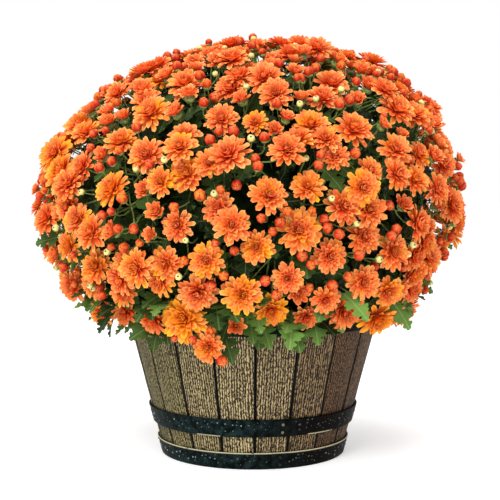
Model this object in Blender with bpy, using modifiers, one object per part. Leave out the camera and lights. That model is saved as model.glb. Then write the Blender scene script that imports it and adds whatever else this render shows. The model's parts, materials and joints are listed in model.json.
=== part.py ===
"""Pot chrysanthemum: a mounded garden mum, planted in a coopered half barrel.

Metres, +Z up. The origin is the centre of the barrel's foot, on the surface that it stands on.
The viewer's side is -Y. Run with: blender --background --python part.py
"""

import math
import random

import bmesh
import bpy
import numpy as np
from mathutils import Matrix, Vector
from mathutils.bvhtree import BVHTree

# Barrel
BARREL_HEIGHT = 0.190
FOOT_RADIUS = 0.115  # outside of the staves, at the floor
FLARE = 0.262  # growth of the radius for each metre of height
STAVES = 19
JOINT_IN_FRONT = math.radians(-89)  # azimuth of the joint nearest to the viewer
STAVE_THICKNESS = 0.012
JOINT_GROOVE = 0.0024  # bevel along each long edge of a stave
CLEARANCE = 0.0003  # between two pieces that touch
STAVE_TOP = BARREL_HEIGHT - 0.003

HEAD_BOTTOM = 0.0  # the board that closes the barrel, flush with the staves' ends
HEAD_TOP = 0.014
DRAIN_HOLES = 4
DRAIN_RADIUS = 0.006
DRAIN_CIRCLE = 0.060

# Hoops
HOOP_THICKNESS = 0.0024
FOOT_HOOP = (0.0, 0.021)
BELLY_HOOP = (0.041, 0.063)
RIM_HOOP = (0.165, BARREL_HEIGHT)
RIM_LIP = 0.016  # how far the rim hoop's top reaches inwards over the staves' ends
RIM_ROUNDING = 0.0022
HOOP_SIDES = 2 * STAVES
LAP_AZIMUTH = math.radians(-75)  # of the riveted laps on the belly and foot hoops
LAP_THICKNESS = 0.0014
LAP_MARGIN = 0.0015
RIVET_RADIUS = 0.0032
RIVET_HEIGHT = 0.0022
RIVET_PLACES = (0.28, 0.72)  # heights of the two rivets, as shares of the hoop's height

# Soil
SOIL_TOP = 0.164
SOIL_CROWN = 0.006  # how much the middle stands above the edge
STEM_HOLE_RADIUS = 0.0135
STEM_HOLE_FLOOR = 0.120

# Mound of the plant: an ellipsoid with a taller lower half, through the faces of the blooms
MOUND_CENTRE = Vector((-0.006, 0.0, 0.325))
MOUND_RADIUS = 0.262
MOUND_RISE = 0.196
MOUND_DROP = 0.215
MOUND_LEAN = 0.10  # shift to the right for each metre of height above the middle
MOUND_STEPS = 720  # in which its area is summed up from the top down
LOWEST_SPRAY = math.radians(-36)
LOWEST_BLOOM = math.radians(-41)
HANGING_BLOOM = Vector((-0.051, -0.196, 0.158))  # the one in front of the rim
HANGING_FACING = Vector((-0.2, -1.0, -0.2))
SEED = 71

# Sprays: each has one bloom in the middle, a ring of blooms round it, and a bud in the widest gap
SPRAYS = 35
RING_BLOOMS = 7
RING_RADIUS = 0.049
RING_STRAY = (0.92, 1.08)  # shares of the ring's radius between which its blooms start
GAP_EVERY = 2  # in every second spray the ring's last place is a gap with no bloom
PLACE_RADIUS = (0.0205, 0.0325)  # of the room that a bloom keeps free of others
RELAX_ROUNDS = 120
RELAX_STEP = 0.45
LARGEST_BLOOM = 0.0285
BLOOM_ROOM = 0.97  # of the distance between two blooms, which their radii share
BLOOM_SINK = (-0.005, 0.013)  # how far a bloom sits inside the mound's surface
SKYWARD = 0.38  # how strongly a bloom turns up to the light
WANDER = 0.27  # how far a bloom faces away from its place
BUD_TRIES = 40
BUD_REACH = (0.35, 1.35)  # shares of the ring's radius between which a bud is tried
BUD_SINK = (0.000, 0.014)

# Bloom and bud: shares of the bloom's radius
PETALS = 6
PETAL_NOTCH = 0.83  # how far out the notches between petals reach
PETAL_TIP = 0.06  # height of the petals' tips above the notches
INNER_REACH = 0.52
INNER_HEIGHT = 0.36
EYE_HEIGHT = 0.24
CALYX_DEPTH = 0.40  # of the calyx behind the bloom's rim
CALYX_RADIUS = 0.0021
BUD_RADIUS = 0.0062
BUD_NECK = 0.9  # distance of the stem's end from the bud's middle, in bud radii
BUD_POINT = 0.95
BUD_STEM_RADIUS = 0.0013
HUB_SINK = 0.056  # depth of the fork where a spray's stems part
HUB_RADIUS = 0.0052
LOWEST_FORK = -0.2  # stems leave the fork's faces whose normal leans out at least this much

# Foliage: a core that the leaves stand out of, carried by the crown
CORE_SINK = 0.078
CORE_SIDES = 16
CORE_LOWEST = math.radians(-30)
CORE_RINGS = 5
CORE_FOOT = ((0.132, 0.206), (0.120, 0.172))  # (radius, height) of its lower end, above the soil
ROOT_DEPTH = 0.012
STUB_RADIUS = 0.0036
CROWN_RADIUS = 0.0115

# Leaves: outline as (share of the length, share of the length to one side)
LEAF_OUTLINE = ((0.38, 0.31), (0.50, 0.14), (0.74, 0.30))
LEAF_MIDDLE = 0.54
LEAF_FOLD = 0.25  # rise of the blade to each side of its middle rib
LEAF_THICKNESS = 0.0014
LEAF_TRIES = 12
GAP_LEAVES = 78
GAP_LEAVES_TURN = 1.1  # azimuth of the topmost
GAP_LEAF_LENGTH = (0.078, 0.092)
GAP_LEAF_LEAN = (0.2, 0.7)
GAP_LEAF_FACE = 0.9  # how far it faces back from its lean
GAP_LEAF_BEND = (0.2, 0.7)
GAP_LEAF_FROM_HUB = 0.034
SKIRT_LEAVES = 30
SKIRT_LATITUDE = (math.radians(-44), math.radians(-22))
SKIRT_LEAF_LENGTH = (0.080, 0.105)
SKIRT_LEAF_TURN = 0.08  # radians to either side of its place
SKIRT_LEAF_RISE = 0.45  # slope at which the first try sets off
SKIRT_LEAF_FALL = 0.10  # by which each further try sets off lower
SKIRT_LEAF_STRAY = 0.15
SKIRT_LEAF_SWAY = 0.3
SKIRT_LEAF_BEND = (0.9, 1.5)
GOLDEN_ANGLE = math.pi * (3 - math.sqrt(5))

COLOURS = {
    "oak": ((0.30, 0.21, 0.12), 0.75, 0.0),
    "iron": ((0.012, 0.017, 0.018), 0.35, 0.6),
    "board": ((0.16, 0.11, 0.07), 0.85, 0.0),
    "soil": ((0.030, 0.020, 0.014), 0.95, 0.0),
    "leaf": ((0.055, 0.16, 0.035), 0.55, 0.0),
    "petal": ((0.95, 0.27, 0.05), 0.60, 0.0),
}


def clear_scene():
    for old in list(bpy.data.objects):
        bpy.data.objects.remove(old)


def material(name):
    colour, roughness, metallic = COLOURS[name]
    made = bpy.data.materials.get(name) or bpy.data.materials.new(name)
    made.use_nodes = True
    shader = made.node_tree.nodes["Principled BSDF"]
    shader.inputs["Base Color"].default_value = (*colour, 1.0)
    shader.inputs["Roughness"].default_value = roughness
    shader.inputs["Metallic"].default_value = metallic
    return made


def new_collection(name):
    made = bpy.data.collections.new(name)
    bpy.context.scene.collection.children.link(made)
    return made


def add_object(name, mesh, collection, finish=None):
    made = bpy.data.objects.new(name, mesh)
    collection.objects.link(made)
    if finish:
        mesh.materials.append(material(finish))
    return made


def mesh_of(bm, name):
    """Turns a bmesh into a mesh whose faces point out."""
    bmesh.ops.recalc_face_normals(bm, faces=bm.faces)
    mesh = bpy.data.meshes.new(name)
    bm.to_mesh(mesh)
    bm.free()
    return mesh


def apply_modifiers(obj):
    """Replaces the object's mesh by its evaluated one and removes its modifiers."""
    graph = bpy.context.evaluated_depsgraph_get()
    mesh = bpy.data.meshes.new_from_object(obj.evaluated_get(graph))
    obj.modifiers.clear()
    obj.data = mesh
    return obj


def outside(height):
    """Outer radius of the staves at a height."""
    return FOOT_RADIUS + FLARE * height


def inside(height):
    """Distance from the axis to the joints of the staves' inner faces at a height."""
    return outside(height) - STAVE_THICKNESS


def polar(radius, angle, height=0.0):
    return Vector((radius * math.cos(angle), radius * math.sin(angle), height))


def joint_azimuth(index):
    """Where the joint before this stave is, counted from the one nearest to the viewer."""
    return JOINT_IN_FRONT + math.tau * index / STAVES


# Barrel

def stave_section(height):
    """Corners of a stave's cross-section at a height, round the barrel's +X side."""
    outer = outside(height)
    half = math.pi / STAVES
    joint = CLEARANCE / 2 / outer
    bevel = JOINT_GROOVE / outer
    inner = outer - STAVE_THICKNESS
    inner_joint = CLEARANCE / 2 / inner
    return [
        polar(inner, -half + inner_joint, height),
        polar(outer - JOINT_GROOVE, -half + joint, height),
        polar(outer, -half + bevel, height),
        polar(outer, 0.0, height),
        polar(outer, half - bevel, height),
        polar(outer - JOINT_GROOVE, half - joint, height),
        polar(inner, half - inner_joint, height),
    ]


def build_staves(parts):
    """Each stave is one section, extruded from the floor to the rim as it widens."""
    bm = bmesh.new()
    foot = bm.faces.new([bm.verts.new(point) for point in stave_section(0.0)])
    top = bmesh.ops.extrude_discrete_faces(bm, faces=[foot])["faces"][0]
    bm.faces.new([bm.verts.new(point) for point in stave_section(0.0)])
    for vertex, point in zip(top.verts, stave_section(STAVE_TOP)):
        vertex.co = point
    bmesh.ops.remove_doubles(bm, verts=bm.verts, dist=1e-6)
    mesh = mesh_of(bm, "stave")
    mesh.materials.append(material("oak"))
    for index in range(STAVES):
        stave = add_object(f"stave_{index + 1:02d}", mesh, parts)
        stave.rotation_euler.z = joint_azimuth(index + 0.5)


def turned(name, profile, sides, parts, finish, closed=True):
    """A solid turned round the Z axis from (radius, height) points that run down its outer side.

    Its first seam stands at a joint between staves.
    """
    bm = bmesh.new()
    points = [bm.verts.new((radius, 0.0, height)) for radius, height in profile]
    for a, b in zip(points, points[1:]):
        bm.edges.new((a, b))
    if closed:
        bm.edges.new((points[-1], points[0]))
    mesh = bpy.data.meshes.new(name)
    bm.to_mesh(mesh)
    bm.free()
    made = add_object(name, mesh, parts, finish)
    made.rotation_euler.z = joint_azimuth(0)
    screw = made.modifiers.new("turn", "SCREW")
    screw.steps = screw.render_steps = sides
    screw.use_merge_vertices = True
    screw.merge_threshold = 0.00001
    screw.use_normal_calculate = True
    return made


def build_head(parts, cutters):
    """The round board inside the foot, with its drain holes."""
    head = turned(
        "barrel_head",
        [
            (0.0, HEAD_TOP),
            (inside(HEAD_TOP) - CLEARANCE, HEAD_TOP),
            (inside(HEAD_BOTTOM) - CLEARANCE, HEAD_BOTTOM),
            (0.0, HEAD_BOTTOM),
        ],
        STAVES,
        parts,
        "board",
        closed=False,
    )
    for index in range(DRAIN_HOLES):
        angle = 2 * math.pi * (index + 0.5) / DRAIN_HOLES
        bm = bmesh.new()
        bmesh.ops.create_cone(
            bm,
            cap_ends=True,
            segments=8,
            radius1=DRAIN_RADIUS,
            radius2=DRAIN_RADIUS,
            depth=4 * (HEAD_TOP - HEAD_BOTTOM),
            matrix=Matrix.Translation(polar(DRAIN_CIRCLE, angle, (HEAD_TOP + HEAD_BOTTOM) / 2)),
        )
        drill = add_object(f"drill_{index + 1}", mesh_of(bm, "drill"), cutters)
        drill.hide_render = True
        drill.display_type = "WIRE"
        cut = head.modifiers.new(f"drain_{index + 1}", "BOOLEAN")
        cut.operation = "DIFFERENCE"
        cut.object = drill


def hoop_profile(low, high):
    """Section of a plain hoop, which follows the staves' taper."""
    face = CLEARANCE + HOOP_THICKNESS
    return [
        (outside(high) + CLEARANCE, high),
        (outside(high) + face, high),
        (outside(low) + face, low),
        (outside(low) + CLEARANCE, low),
    ]


def rim_profile(low, high):
    """Section of the rim hoop, whose top is turned in over the ends of the staves."""
    face = CLEARANCE + HOOP_THICKNESS
    under = STAVE_TOP + CLEARANCE
    return [
        (outside(high) - RIM_LIP, under),
        (outside(high) - RIM_LIP, high),
        (outside(high) + face - RIM_ROUNDING, high),
        (outside(high) + face, high - RIM_ROUNDING),
        (outside(low) + face, low),
        (outside(low) + CLEARANCE, low),
        (outside(under) + CLEARANCE, under),
    ]


def lap_mesh(low, high):
    """The hoop's end, which lies over its start for one side of the hoop, round the +X side."""
    bm = bmesh.new()
    corners = []
    for height in (low + LAP_MARGIN, high - LAP_MARGIN):
        for reach in (HOOP_THICKNESS / 2, HOOP_THICKNESS + LAP_THICKNESS):
            for side in (-0.5, 0.5):
                angle = side * math.tau / HOOP_SIDES
                corners.append(bm.verts.new(polar(outside(height) + CLEARANCE + reach, angle, height)))
    bmesh.ops.convex_hull(bm, input=corners)
    return mesh_of(bm, "lap")


def rivet_mesh(height):
    """A rivet's head on the lap, at a height, on the +X side."""
    reach = outside(height) + CLEARANCE + HOOP_THICKNESS + LAP_THICKNESS
    face = reach * math.cos(math.pi / HOOP_SIDES)
    bm = bmesh.new()
    bmesh.ops.create_cone(
        bm,
        cap_ends=True,
        segments=8,
        radius1=RIVET_RADIUS,
        radius2=RIVET_RADIUS * 0.55,
        depth=2 * RIVET_HEIGHT,
        matrix=Matrix.Translation((face, 0.0, height)) @ Matrix.Rotation(math.pi / 2, 4, "Y"),
    )
    return mesh_of(bm, "rivet")


def add_lap(hoop, low, high):
    """Joins the riveted lap, where the hoop's end lies over itself, to the hoop."""
    pieces = new_collection(f"{hoop.name}_lap")
    step = math.tau / HOOP_SIDES
    side = round((LAP_AZIMUTH - joint_azimuth(0)) / step - 0.5) + 0.5
    meshes = [lap_mesh(low, high)]
    meshes += [rivet_mesh(low + share * (high - low)) for share in RIVET_PLACES]
    for mesh in meshes:
        piece = add_object("lap", mesh, pieces)
        piece.rotation_euler.z = joint_azimuth(0) + side * step
    join_collection(hoop, pieces, "EXACT")


def build_hoops(parts):
    rim = turned("hoop_rim", rim_profile(*RIM_HOOP), HOOP_SIDES, parts, "iron")
    belly = turned("hoop_belly", hoop_profile(*BELLY_HOOP), HOOP_SIDES, parts, "iron")
    foot = turned("hoop_foot", hoop_profile(*FOOT_HOOP), HOOP_SIDES, parts, "iron")
    add_lap(belly, *BELLY_HOOP)
    add_lap(foot, *FOOT_HOOP)
    return rim, belly, foot


def build_soil(parts):
    """Potting soil, with the plain hole that the crown stands in."""
    low = HEAD_TOP + CLEARANCE
    edge = SOIL_TOP
    return turned(
        "soil",
        [
            (0.0, STEM_HOLE_FLOOR),
            (STEM_HOLE_RADIUS, STEM_HOLE_FLOOR),
            (STEM_HOLE_RADIUS, edge + SOIL_CROWN),
            (inside(edge) * 0.6, edge + SOIL_CROWN * 0.6),
            (inside(edge) - CLEARANCE, edge),
            (inside(low) - CLEARANCE, low),
            (0.0, low),
        ],
        STAVES,
        parts,
        "soil",
        closed=False,
    )


# Mound: the rule that places sprays, blooms, buds and leaves

def mound_axes(latitude, sink):
    rise = MOUND_RISE if latitude > 0 else MOUND_DROP
    return MOUND_RADIUS - sink, rise - sink


def leaning(point):
    """The point moved to the right by the mound's lean."""
    return Vector((point.x + MOUND_LEAN * max(0.0, point.z - MOUND_CENTRE.z), point.y, point.z))


def mound_point(latitude, azimuth, sink=0.0):
    """A point at this depth under the mound's surface."""
    wide, tall = mound_axes(latitude, sink)
    return leaning(MOUND_CENTRE + polar(wide * math.cos(latitude), azimuth, tall * math.sin(latitude)))


def mound_normal(latitude, azimuth):
    wide, tall = mound_axes(latitude, 0.0)
    normal = polar(math.cos(latitude) / wide, azimuth, math.sin(latitude) / tall)
    if latitude > 0:
        normal.z -= MOUND_LEAN * normal.x
    return normal.normalized()


def mound_place(point):
    """(latitude, azimuth) of the surface point that lies in the direction of this point."""
    offset = Vector(point) - MOUND_CENTRE
    offset.x -= MOUND_LEAN * max(0.0, offset.z)
    tall = MOUND_RISE if offset.z > 0 else MOUND_DROP
    flat = math.hypot(offset.x, offset.y) / MOUND_RADIUS
    return math.atan2(offset.z / tall, flat), math.atan2(offset.y, offset.x)


def even_places(count, lowest, turn=0.0):
    """Places spread evenly by area over the mound, as a spiral from its top down to a latitude."""
    step = (math.pi / 2 - lowest) / MOUND_STEPS
    lats = [math.pi / 2 - step * (k + 0.5) for k in range(MOUND_STEPS)]
    areas = []
    for lat in lats:
        wide, tall = mound_axes(lat, 0.0)
        slope = math.hypot(wide * math.sin(lat), tall * math.cos(lat))
        areas.append(wide * math.cos(lat) * slope)
    reached = np.cumsum(areas) / sum(areas)
    wanted = (np.arange(count) + 0.5) / count
    picked = np.interp(wanted, reached, lats)
    return [(float(lat), turn + index * GOLDEN_ANGLE) for index, lat in enumerate(picked)]


def tangents(normal):
    side = Vector((0, 0, 1)).cross(normal)
    side = side.normalized() if side.length > 0.05 else Vector((1, 0, 0))
    return side, normal.cross(side)


def relaxed(points, rooms):
    """Pushes points apart over the mound until each pair keeps the sum of its rooms."""
    places = np.array(points)
    wanted = np.add.outer(rooms, rooms)
    for _ in range(RELAX_ROUNDS):
        apart = places[:, None] - places[None]
        distance = np.linalg.norm(apart, axis=2)
        np.fill_diagonal(distance, 1.0)
        push = np.clip(wanted - distance, 0.0, None) / distance
        places = places + RELAX_STEP * (apart * push[:, :, None]).sum(axis=1)
        spots = [mound_place(place) for place in places]
        places = np.array([mound_point(max(lat, LOWEST_BLOOM), az) for lat, az in spots])
    return [Vector(p) for p in places]


def start_places(draw):
    """Where the blooms stand before they push each other apart, spray by spray."""
    points = []
    for latitude, azimuth in even_places(SPRAYS, LOWEST_SPRAY):
        centre = mound_point(latitude, azimuth)
        side, up = tangents(mound_normal(latitude, azimuth))
        spin = draw.uniform(0, math.tau)
        points.append(centre)
        for index in range(RING_BLOOMS):
            angle = spin + math.tau * index / RING_BLOOMS
            reach = RING_RADIUS * draw.uniform(*RING_STRAY)
            points.append(centre + reach * (math.cos(angle) * side + math.sin(angle) * up))
    return points


def bloom_layout():
    """Places of the sprays, and every bloom: its spray, centre, the way it faces and its radius."""
    draw = random.Random(SEED)
    points = start_places(draw)
    rooms = [draw.uniform(*PLACE_RADIUS) for _ in points]
    points = relaxed(points, rooms)
    each = RING_BLOOMS + 1
    groups = [points[first : first + each] for first in range(0, len(points), each)]
    hubs = [mound_place(sum(group, Vector()) / each) for group in groups]
    gaps = range(each - 1, len(points), GAP_EVERY * each)
    blooms = []
    for index, point in enumerate(points):
        latitude, azimuth = mound_place(point)
        sink = draw.uniform(*BLOOM_SINK)
        wander = Vector([draw.uniform(-WANDER, WANDER) for _ in range(3)])
        facing = (mound_normal(latitude, azimuth) + Vector((0, 0, SKYWARD)) + wander).normalized()
        radius = LARGEST_BLOOM
        for other, room in zip(points, rooms):
            if other is not point:
                share = rooms[index] / (rooms[index] + room)
                radius = min(radius, BLOOM_ROOM * share * (point - other).length)
        if index not in gaps:
            blooms.append((index // each, mound_point(latitude, azimuth, sink), facing, radius))
    place = min(range(len(blooms)), key=lambda index: (blooms[index][1] - HANGING_BLOOM).length)
    spray, _, _, radius = blooms[place]
    blooms[place] = (spray, HANGING_BLOOM, HANGING_FACING.normalized(), radius)
    return hubs, blooms, draw


def bud_layout(hubs, blooms, draw):
    """A bud for each spray, in the emptiest of several places near the spray's middle."""
    taken = [centre for _, centre, _, _ in blooms]
    buds = []
    for latitude, azimuth in hubs:
        centre = mound_point(latitude, azimuth)
        side, up = tangents(mound_normal(latitude, azimuth))
        spots = []
        for _ in range(BUD_TRIES):
            angle = draw.uniform(0, math.tau)
            reach = draw.uniform(*BUD_REACH) * RING_RADIUS
            lat, az = mound_place(centre + reach * (math.cos(angle) * side + math.sin(angle) * up))
            spots.append(mound_point(max(lat, LOWEST_BLOOM), az, draw.uniform(*BUD_SINK)))
        rooms = [min((spot - other).length for other in taken) for spot in spots]
        bud = spots[rooms.index(max(rooms))]
        taken.append(bud)
        buds.append(bud)
    return buds


# Sprays

def hub_mesh(normal, foot):
    """The fork of a spray: an icosahedron that stands on one of its faces."""
    bm = bmesh.new()
    bmesh.ops.create_icosphere(bm, subdivisions=1, radius=HUB_RADIUS)
    bm.normal_update()
    bm.faces.ensure_lookup_table()
    turn = bm.faces[0].normal.rotation_difference(normal).to_matrix().to_4x4()
    middle = bm.faces[0].calc_center_median().length
    bm.transform(Matrix.Translation(foot + normal * middle) @ turn)
    bm.normal_update()
    return bm


def shared_out(targets, faces, centre):
    """Gives each target its own face, so that the sum of the angles between them is small."""
    ways = [(target - centre).normalized() for target in targets]
    fit = [[way.dot(face.normal) for face in faces] for way in ways]
    order = list(range(len(faces)))
    better = True
    while better:
        better = False
        for a in range(len(ways)):
            for b in range(a + 1, len(faces)):
                now = fit[a][order[a]] + (fit[b][order[b]] if b < len(ways) else 0)
                then = fit[a][order[b]] + (fit[b][order[a]] if b < len(ways) else 0)
                if then > now + 1e-9:
                    order[a], order[b] = order[b], order[a]
                    better = True
    return [faces[order[index]] for index in range(len(ways))]


def grow_stem(bm, face, end, facing, radius):
    """Extrudes a hub's face to a triangle of this radius at the stem's end, and returns it."""
    turn = face.normal.rotation_difference(facing)
    middle = face.calc_center_median()
    arms = [turn @ (vertex.co - middle) for vertex in face.verts]
    tip = bmesh.ops.extrude_discrete_faces(bm, faces=[face])["faces"][0]
    for vertex, arm in zip(tip.verts, arms):
        vertex.co = end + arm.normalized() * radius
    return tip


def ring(bm, centre, facing, start, radii, heights):
    """A closed ring of vertices round an axis, with a radius and a height for each."""
    across = (start - centre) - (start - centre).dot(facing) * facing
    across.normalize()
    along = facing.cross(across)
    count = len(radii)
    made = []
    for index, (radius, height) in enumerate(zip(radii, heights)):
        angle = math.tau * index / count
        spot = math.cos(angle) * across + math.sin(angle) * along
        made.append(bm.verts.new(centre + radius * spot + height * facing))
    return made


def corners_in_order(tip, centre, facing):
    """A stem end's three corners, counter-clockwise as seen from the side that it faces."""
    a, b, c = tip.verts
    turn = (a.co - centre).cross(b.co - centre).dot(facing)
    return [a, b, c] if turn > 0 else [a, c, b]


def flare(bm, corners, outer):
    """Lofts a stem end's triangle out to a ring with a multiple of three vertices."""
    count = len(outer)
    share = count // 3
    for index, corner in enumerate(corners):
        first = index * share - share // 2
        for step in range(first, first + share):
            bm.faces.new((corner, outer[step % count], outer[(step + 1) % count]))
        bm.faces.new((corner, outer[(first + share) % count], corners[(index + 1) % 3]))


def open_bloom(bm, tip, centre, facing, radius):
    """A bloom on a stem's end: a ring of petals, a shorter raised one, and a sunken eye."""
    corners = corners_in_order(tip, centre, facing)
    bm.faces.remove(tip)
    count = 2 * PETALS
    reach = [radius if k % 2 else PETAL_NOTCH * radius for k in range(count)]
    lift = [PETAL_TIP * radius if k % 2 else 0.0 for k in range(count)]
    outer = ring(bm, centre, facing, corners[0].co, reach, lift)
    flare(bm, corners, outer)
    reach = [INNER_REACH * radius] * PETALS
    lift = [INNER_HEIGHT * radius] * PETALS
    inner = ring(bm, centre, facing, outer[0].co, reach, lift)
    eye = bm.verts.new(centre + EYE_HEIGHT * radius * facing)
    for k in range(PETALS):
        valley, tip_left, tip_right = outer[2 * k], outer[2 * k - 1], outer[2 * k + 1]
        bm.faces.new((valley, inner[k], tip_left))
        bm.faces.new((valley, tip_right, inner[k]))
        bm.faces.new((tip_right, inner[(k + 1) % PETALS], inner[k]))
        bm.faces.new((inner[k], inner[(k + 1) % PETALS], eye))


def close_bud(bm, tip, centre, facing):
    """A round bud on a stem's end."""
    corners = corners_in_order(tip, centre, facing)
    bm.faces.remove(tip)
    belt = ring(bm, centre, facing, corners[0].co, [BUD_RADIUS] * 6, [0.0] * 6)
    flare(bm, corners, belt)
    point = bm.verts.new(centre + BUD_POINT * BUD_RADIUS * facing)
    for k in range(6):
        bm.faces.new((belt[k], belt[(k + 1) % 6], point))


def hub_foot(place):
    return mound_point(*place, HUB_SINK), mound_normal(*place)


def spray_mesh(name, place, blooms, buds):
    """A fork at this place of the mound, and a stem to each of the blooms and to each bud's centre."""
    foot, normal = hub_foot(place)
    bm = hub_mesh(normal, foot)
    middle = foot + normal * HUB_RADIUS
    faces = [face for face in bm.faces if face.normal.dot(normal) > LOWEST_FORK]
    picked = shared_out([*(bloom[0] for bloom in blooms), *buds], faces, middle)
    for (centre, facing, radius), face in zip(blooms, picked):
        calyx = centre - CALYX_DEPTH * radius * facing
        open_bloom(bm, grow_stem(bm, face, calyx, facing, CALYX_RADIUS), centre, facing, radius)
    for centre, face in zip(buds, picked[len(blooms):]):
        way = (centre - middle).normalized()
        tip = grow_stem(bm, face, centre - BUD_NECK * BUD_RADIUS * way, way, BUD_STEM_RADIUS)
        close_bud(bm, tip, centre, way)
    return mesh_of(bm, name)


def surface_of(mesh):
    """The mesh's points, and its triangles as triples of their indices."""
    mesh.calc_loop_triangles()
    points = [vertex.co.copy() for vertex in mesh.vertices]
    return points, [tuple(triangle.vertices) for triangle in mesh.loop_triangles]


def crosses_itself(mesh):
    points, triangles = surface_of(mesh)
    tree = BVHTree.FromPolygons(points, triangles)
    return any(not set(triangles[a]) & set(triangles[b]) for a, b in tree.overlap(tree))


def build_sprays(parts, hubs, blooms, buds):
    """One node for each spray. A bud whose stem would cross another stem is left out."""
    for spray, place in enumerate(hubs):
        name = f"spray_{spray + 1:02d}"
        heads = [bloom[1:] for bloom in blooms if bloom[0] == spray]
        meshes = (spray_mesh(name, place, heads, kept) for kept in ([buds[spray]], []))
        mesh = next(mesh for mesh in meshes if not crosses_itself(mesh))
        add_object(name, mesh, parts, "petal")


# Foliage

def leaf_mesh(root, way, face, length, bend):
    """A lobed leaf as one thin lens that arches from its root, turning towards -face."""
    side = way.cross(face).normalized()
    face = side.cross(way).normalized()

    def spot(share, across, lift=0.0):
        angle = bend * share
        along, down = math.sin(angle) / bend, (1 - math.cos(angle)) / bend
        up = math.cos(angle) * face + math.sin(angle) * way
        fold = LEAF_FOLD * abs(across)
        centre = root + length * (along * way - down * face)
        return centre + length * (across * side + fold * up) + lift * up

    bm = bmesh.new()
    base = bm.verts.new(spot(0.0, 0.0))
    tip = bm.verts.new(spot(1.0, 0.0))
    left = [base, *(bm.verts.new(spot(share, across)) for share, across in LEAF_OUTLINE), tip]
    right = [base, *(bm.verts.new(spot(share, -across)) for share, across in LEAF_OUTLINE), tip]
    for lift in (LEAF_THICKNESS / 2, -LEAF_THICKNESS / 2):
        middle = bm.verts.new(spot(LEAF_MIDDLE, 0.0, lift))
        for edge in (left, right):
            for near, far in zip(edge, edge[1:]):
                bm.faces.new((near, far, middle))
    return mesh_of(bm, "leaf")


def rod_mesh(start, end, radius_start, radius_end, sides):
    """A tapered rod between two points."""
    bm = bmesh.new()
    way = end - start
    bmesh.ops.create_cone(
        bm,
        cap_ends=True,
        segments=sides,
        radius1=radius_start,
        radius2=radius_end,
        depth=way.length,
        matrix=Matrix.Translation((start + end) / 2)
        @ Vector((0, 0, 1)).rotation_difference(way).to_matrix().to_4x4(),
    )
    return mesh_of(bm, "rod")


def join_collection(obj, pieces, solver="MANIFOLD"):
    """One union of the object with every piece of a collection, applied; the pieces then go."""
    join = obj.modifiers.new("join", "BOOLEAN")
    join.operation = "UNION"
    join.operand_type = "COLLECTION"
    join.collection = pieces
    join.solver = solver
    apply_modifiers(obj)
    for piece in list(pieces.objects):
        bpy.data.objects.remove(piece)
    bpy.data.collections.remove(pieces)


def tree_of(obj):
    """The object's evaluated surface, for tests of what crosses it."""
    evaluated = obj.evaluated_get(bpy.context.evaluated_depsgraph_get())
    points, triangles = surface_of(evaluated.to_mesh())
    evaluated.to_mesh_clear()
    return BVHTree.FromPolygons([obj.matrix_world @ point for point in points], triangles)


def place_leaf(pieces, obstacles, draws):
    """Adds the first of several drawn leaves that touches no obstacle, and makes it one too."""
    for root, way, face, length, bend in draws:
        mesh = leaf_mesh(root, way, face, length, bend)
        tree = BVHTree.FromPolygons(*surface_of(mesh))
        if not any(tree.overlap(obstacle) for obstacle in obstacles):
            add_object("leaf", mesh, pieces)
            obstacles.append(tree)
            return


def gap_leaf_draws(draw, latitude, azimuth):
    """Leaves that lean out of the core into a gap between sprays."""
    normal = mound_normal(latitude, azimuth)
    side, up = tangents(normal)
    root = mound_point(latitude, azimuth, CORE_SINK + ROOT_DEPTH)
    for _ in range(LEAF_TRIES):
        spin = draw.uniform(0, math.tau)
        lean = math.cos(spin) * side + math.sin(spin) * up
        way = (normal + draw.uniform(*GAP_LEAF_LEAN) * lean).normalized()
        face = normal - GAP_LEAF_FACE * lean
        yield root, way, face, draw.uniform(*GAP_LEAF_LENGTH), draw.uniform(*GAP_LEAF_BEND)


def skirt_leaf_draws(draw, azimuth):
    """Large leaves that arch out over the barrel's rim."""
    for attempt in range(LEAF_TRIES):
        latitude = draw.uniform(*SKIRT_LATITUDE)
        turn = azimuth + draw.uniform(-SKIRT_LEAF_TURN, SKIRT_LEAF_TURN)
        root = mound_point(latitude, turn, CORE_SINK + ROOT_DEPTH)
        outward = polar(1.0, turn)
        stray = draw.uniform(-SKIRT_LEAF_STRAY, SKIRT_LEAF_STRAY)
        rise = SKIRT_LEAF_RISE - SKIRT_LEAF_FALL * attempt + stray
        sway = draw.uniform(-SKIRT_LEAF_SWAY, SKIRT_LEAF_SWAY)
        way = (outward + Vector((0, 0, rise)) + sway * tangents(outward)[0]).normalized()
        yield root, way, Vector((0, 0, 1)), draw.uniform(*SKIRT_LEAF_LENGTH), draw.uniform(*SKIRT_LEAF_BEND)


def core_profile():
    """Half outline of the core, from its top down its outer side into the barrel's mouth."""
    profile = []
    for step in range(CORE_RINGS + 1):
        latitude = math.pi / 2 + (CORE_LOWEST - math.pi / 2) * step / CORE_RINGS
        wide, tall = mound_axes(latitude, CORE_SINK)
        profile.append((wide * math.cos(latitude), MOUND_CENTRE.z + tall * math.sin(latitude)))
    profile[0] = (0.0, profile[0][1])
    return profile + [*CORE_FOOT, (0.0, CORE_FOOT[-1][1])]


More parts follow.
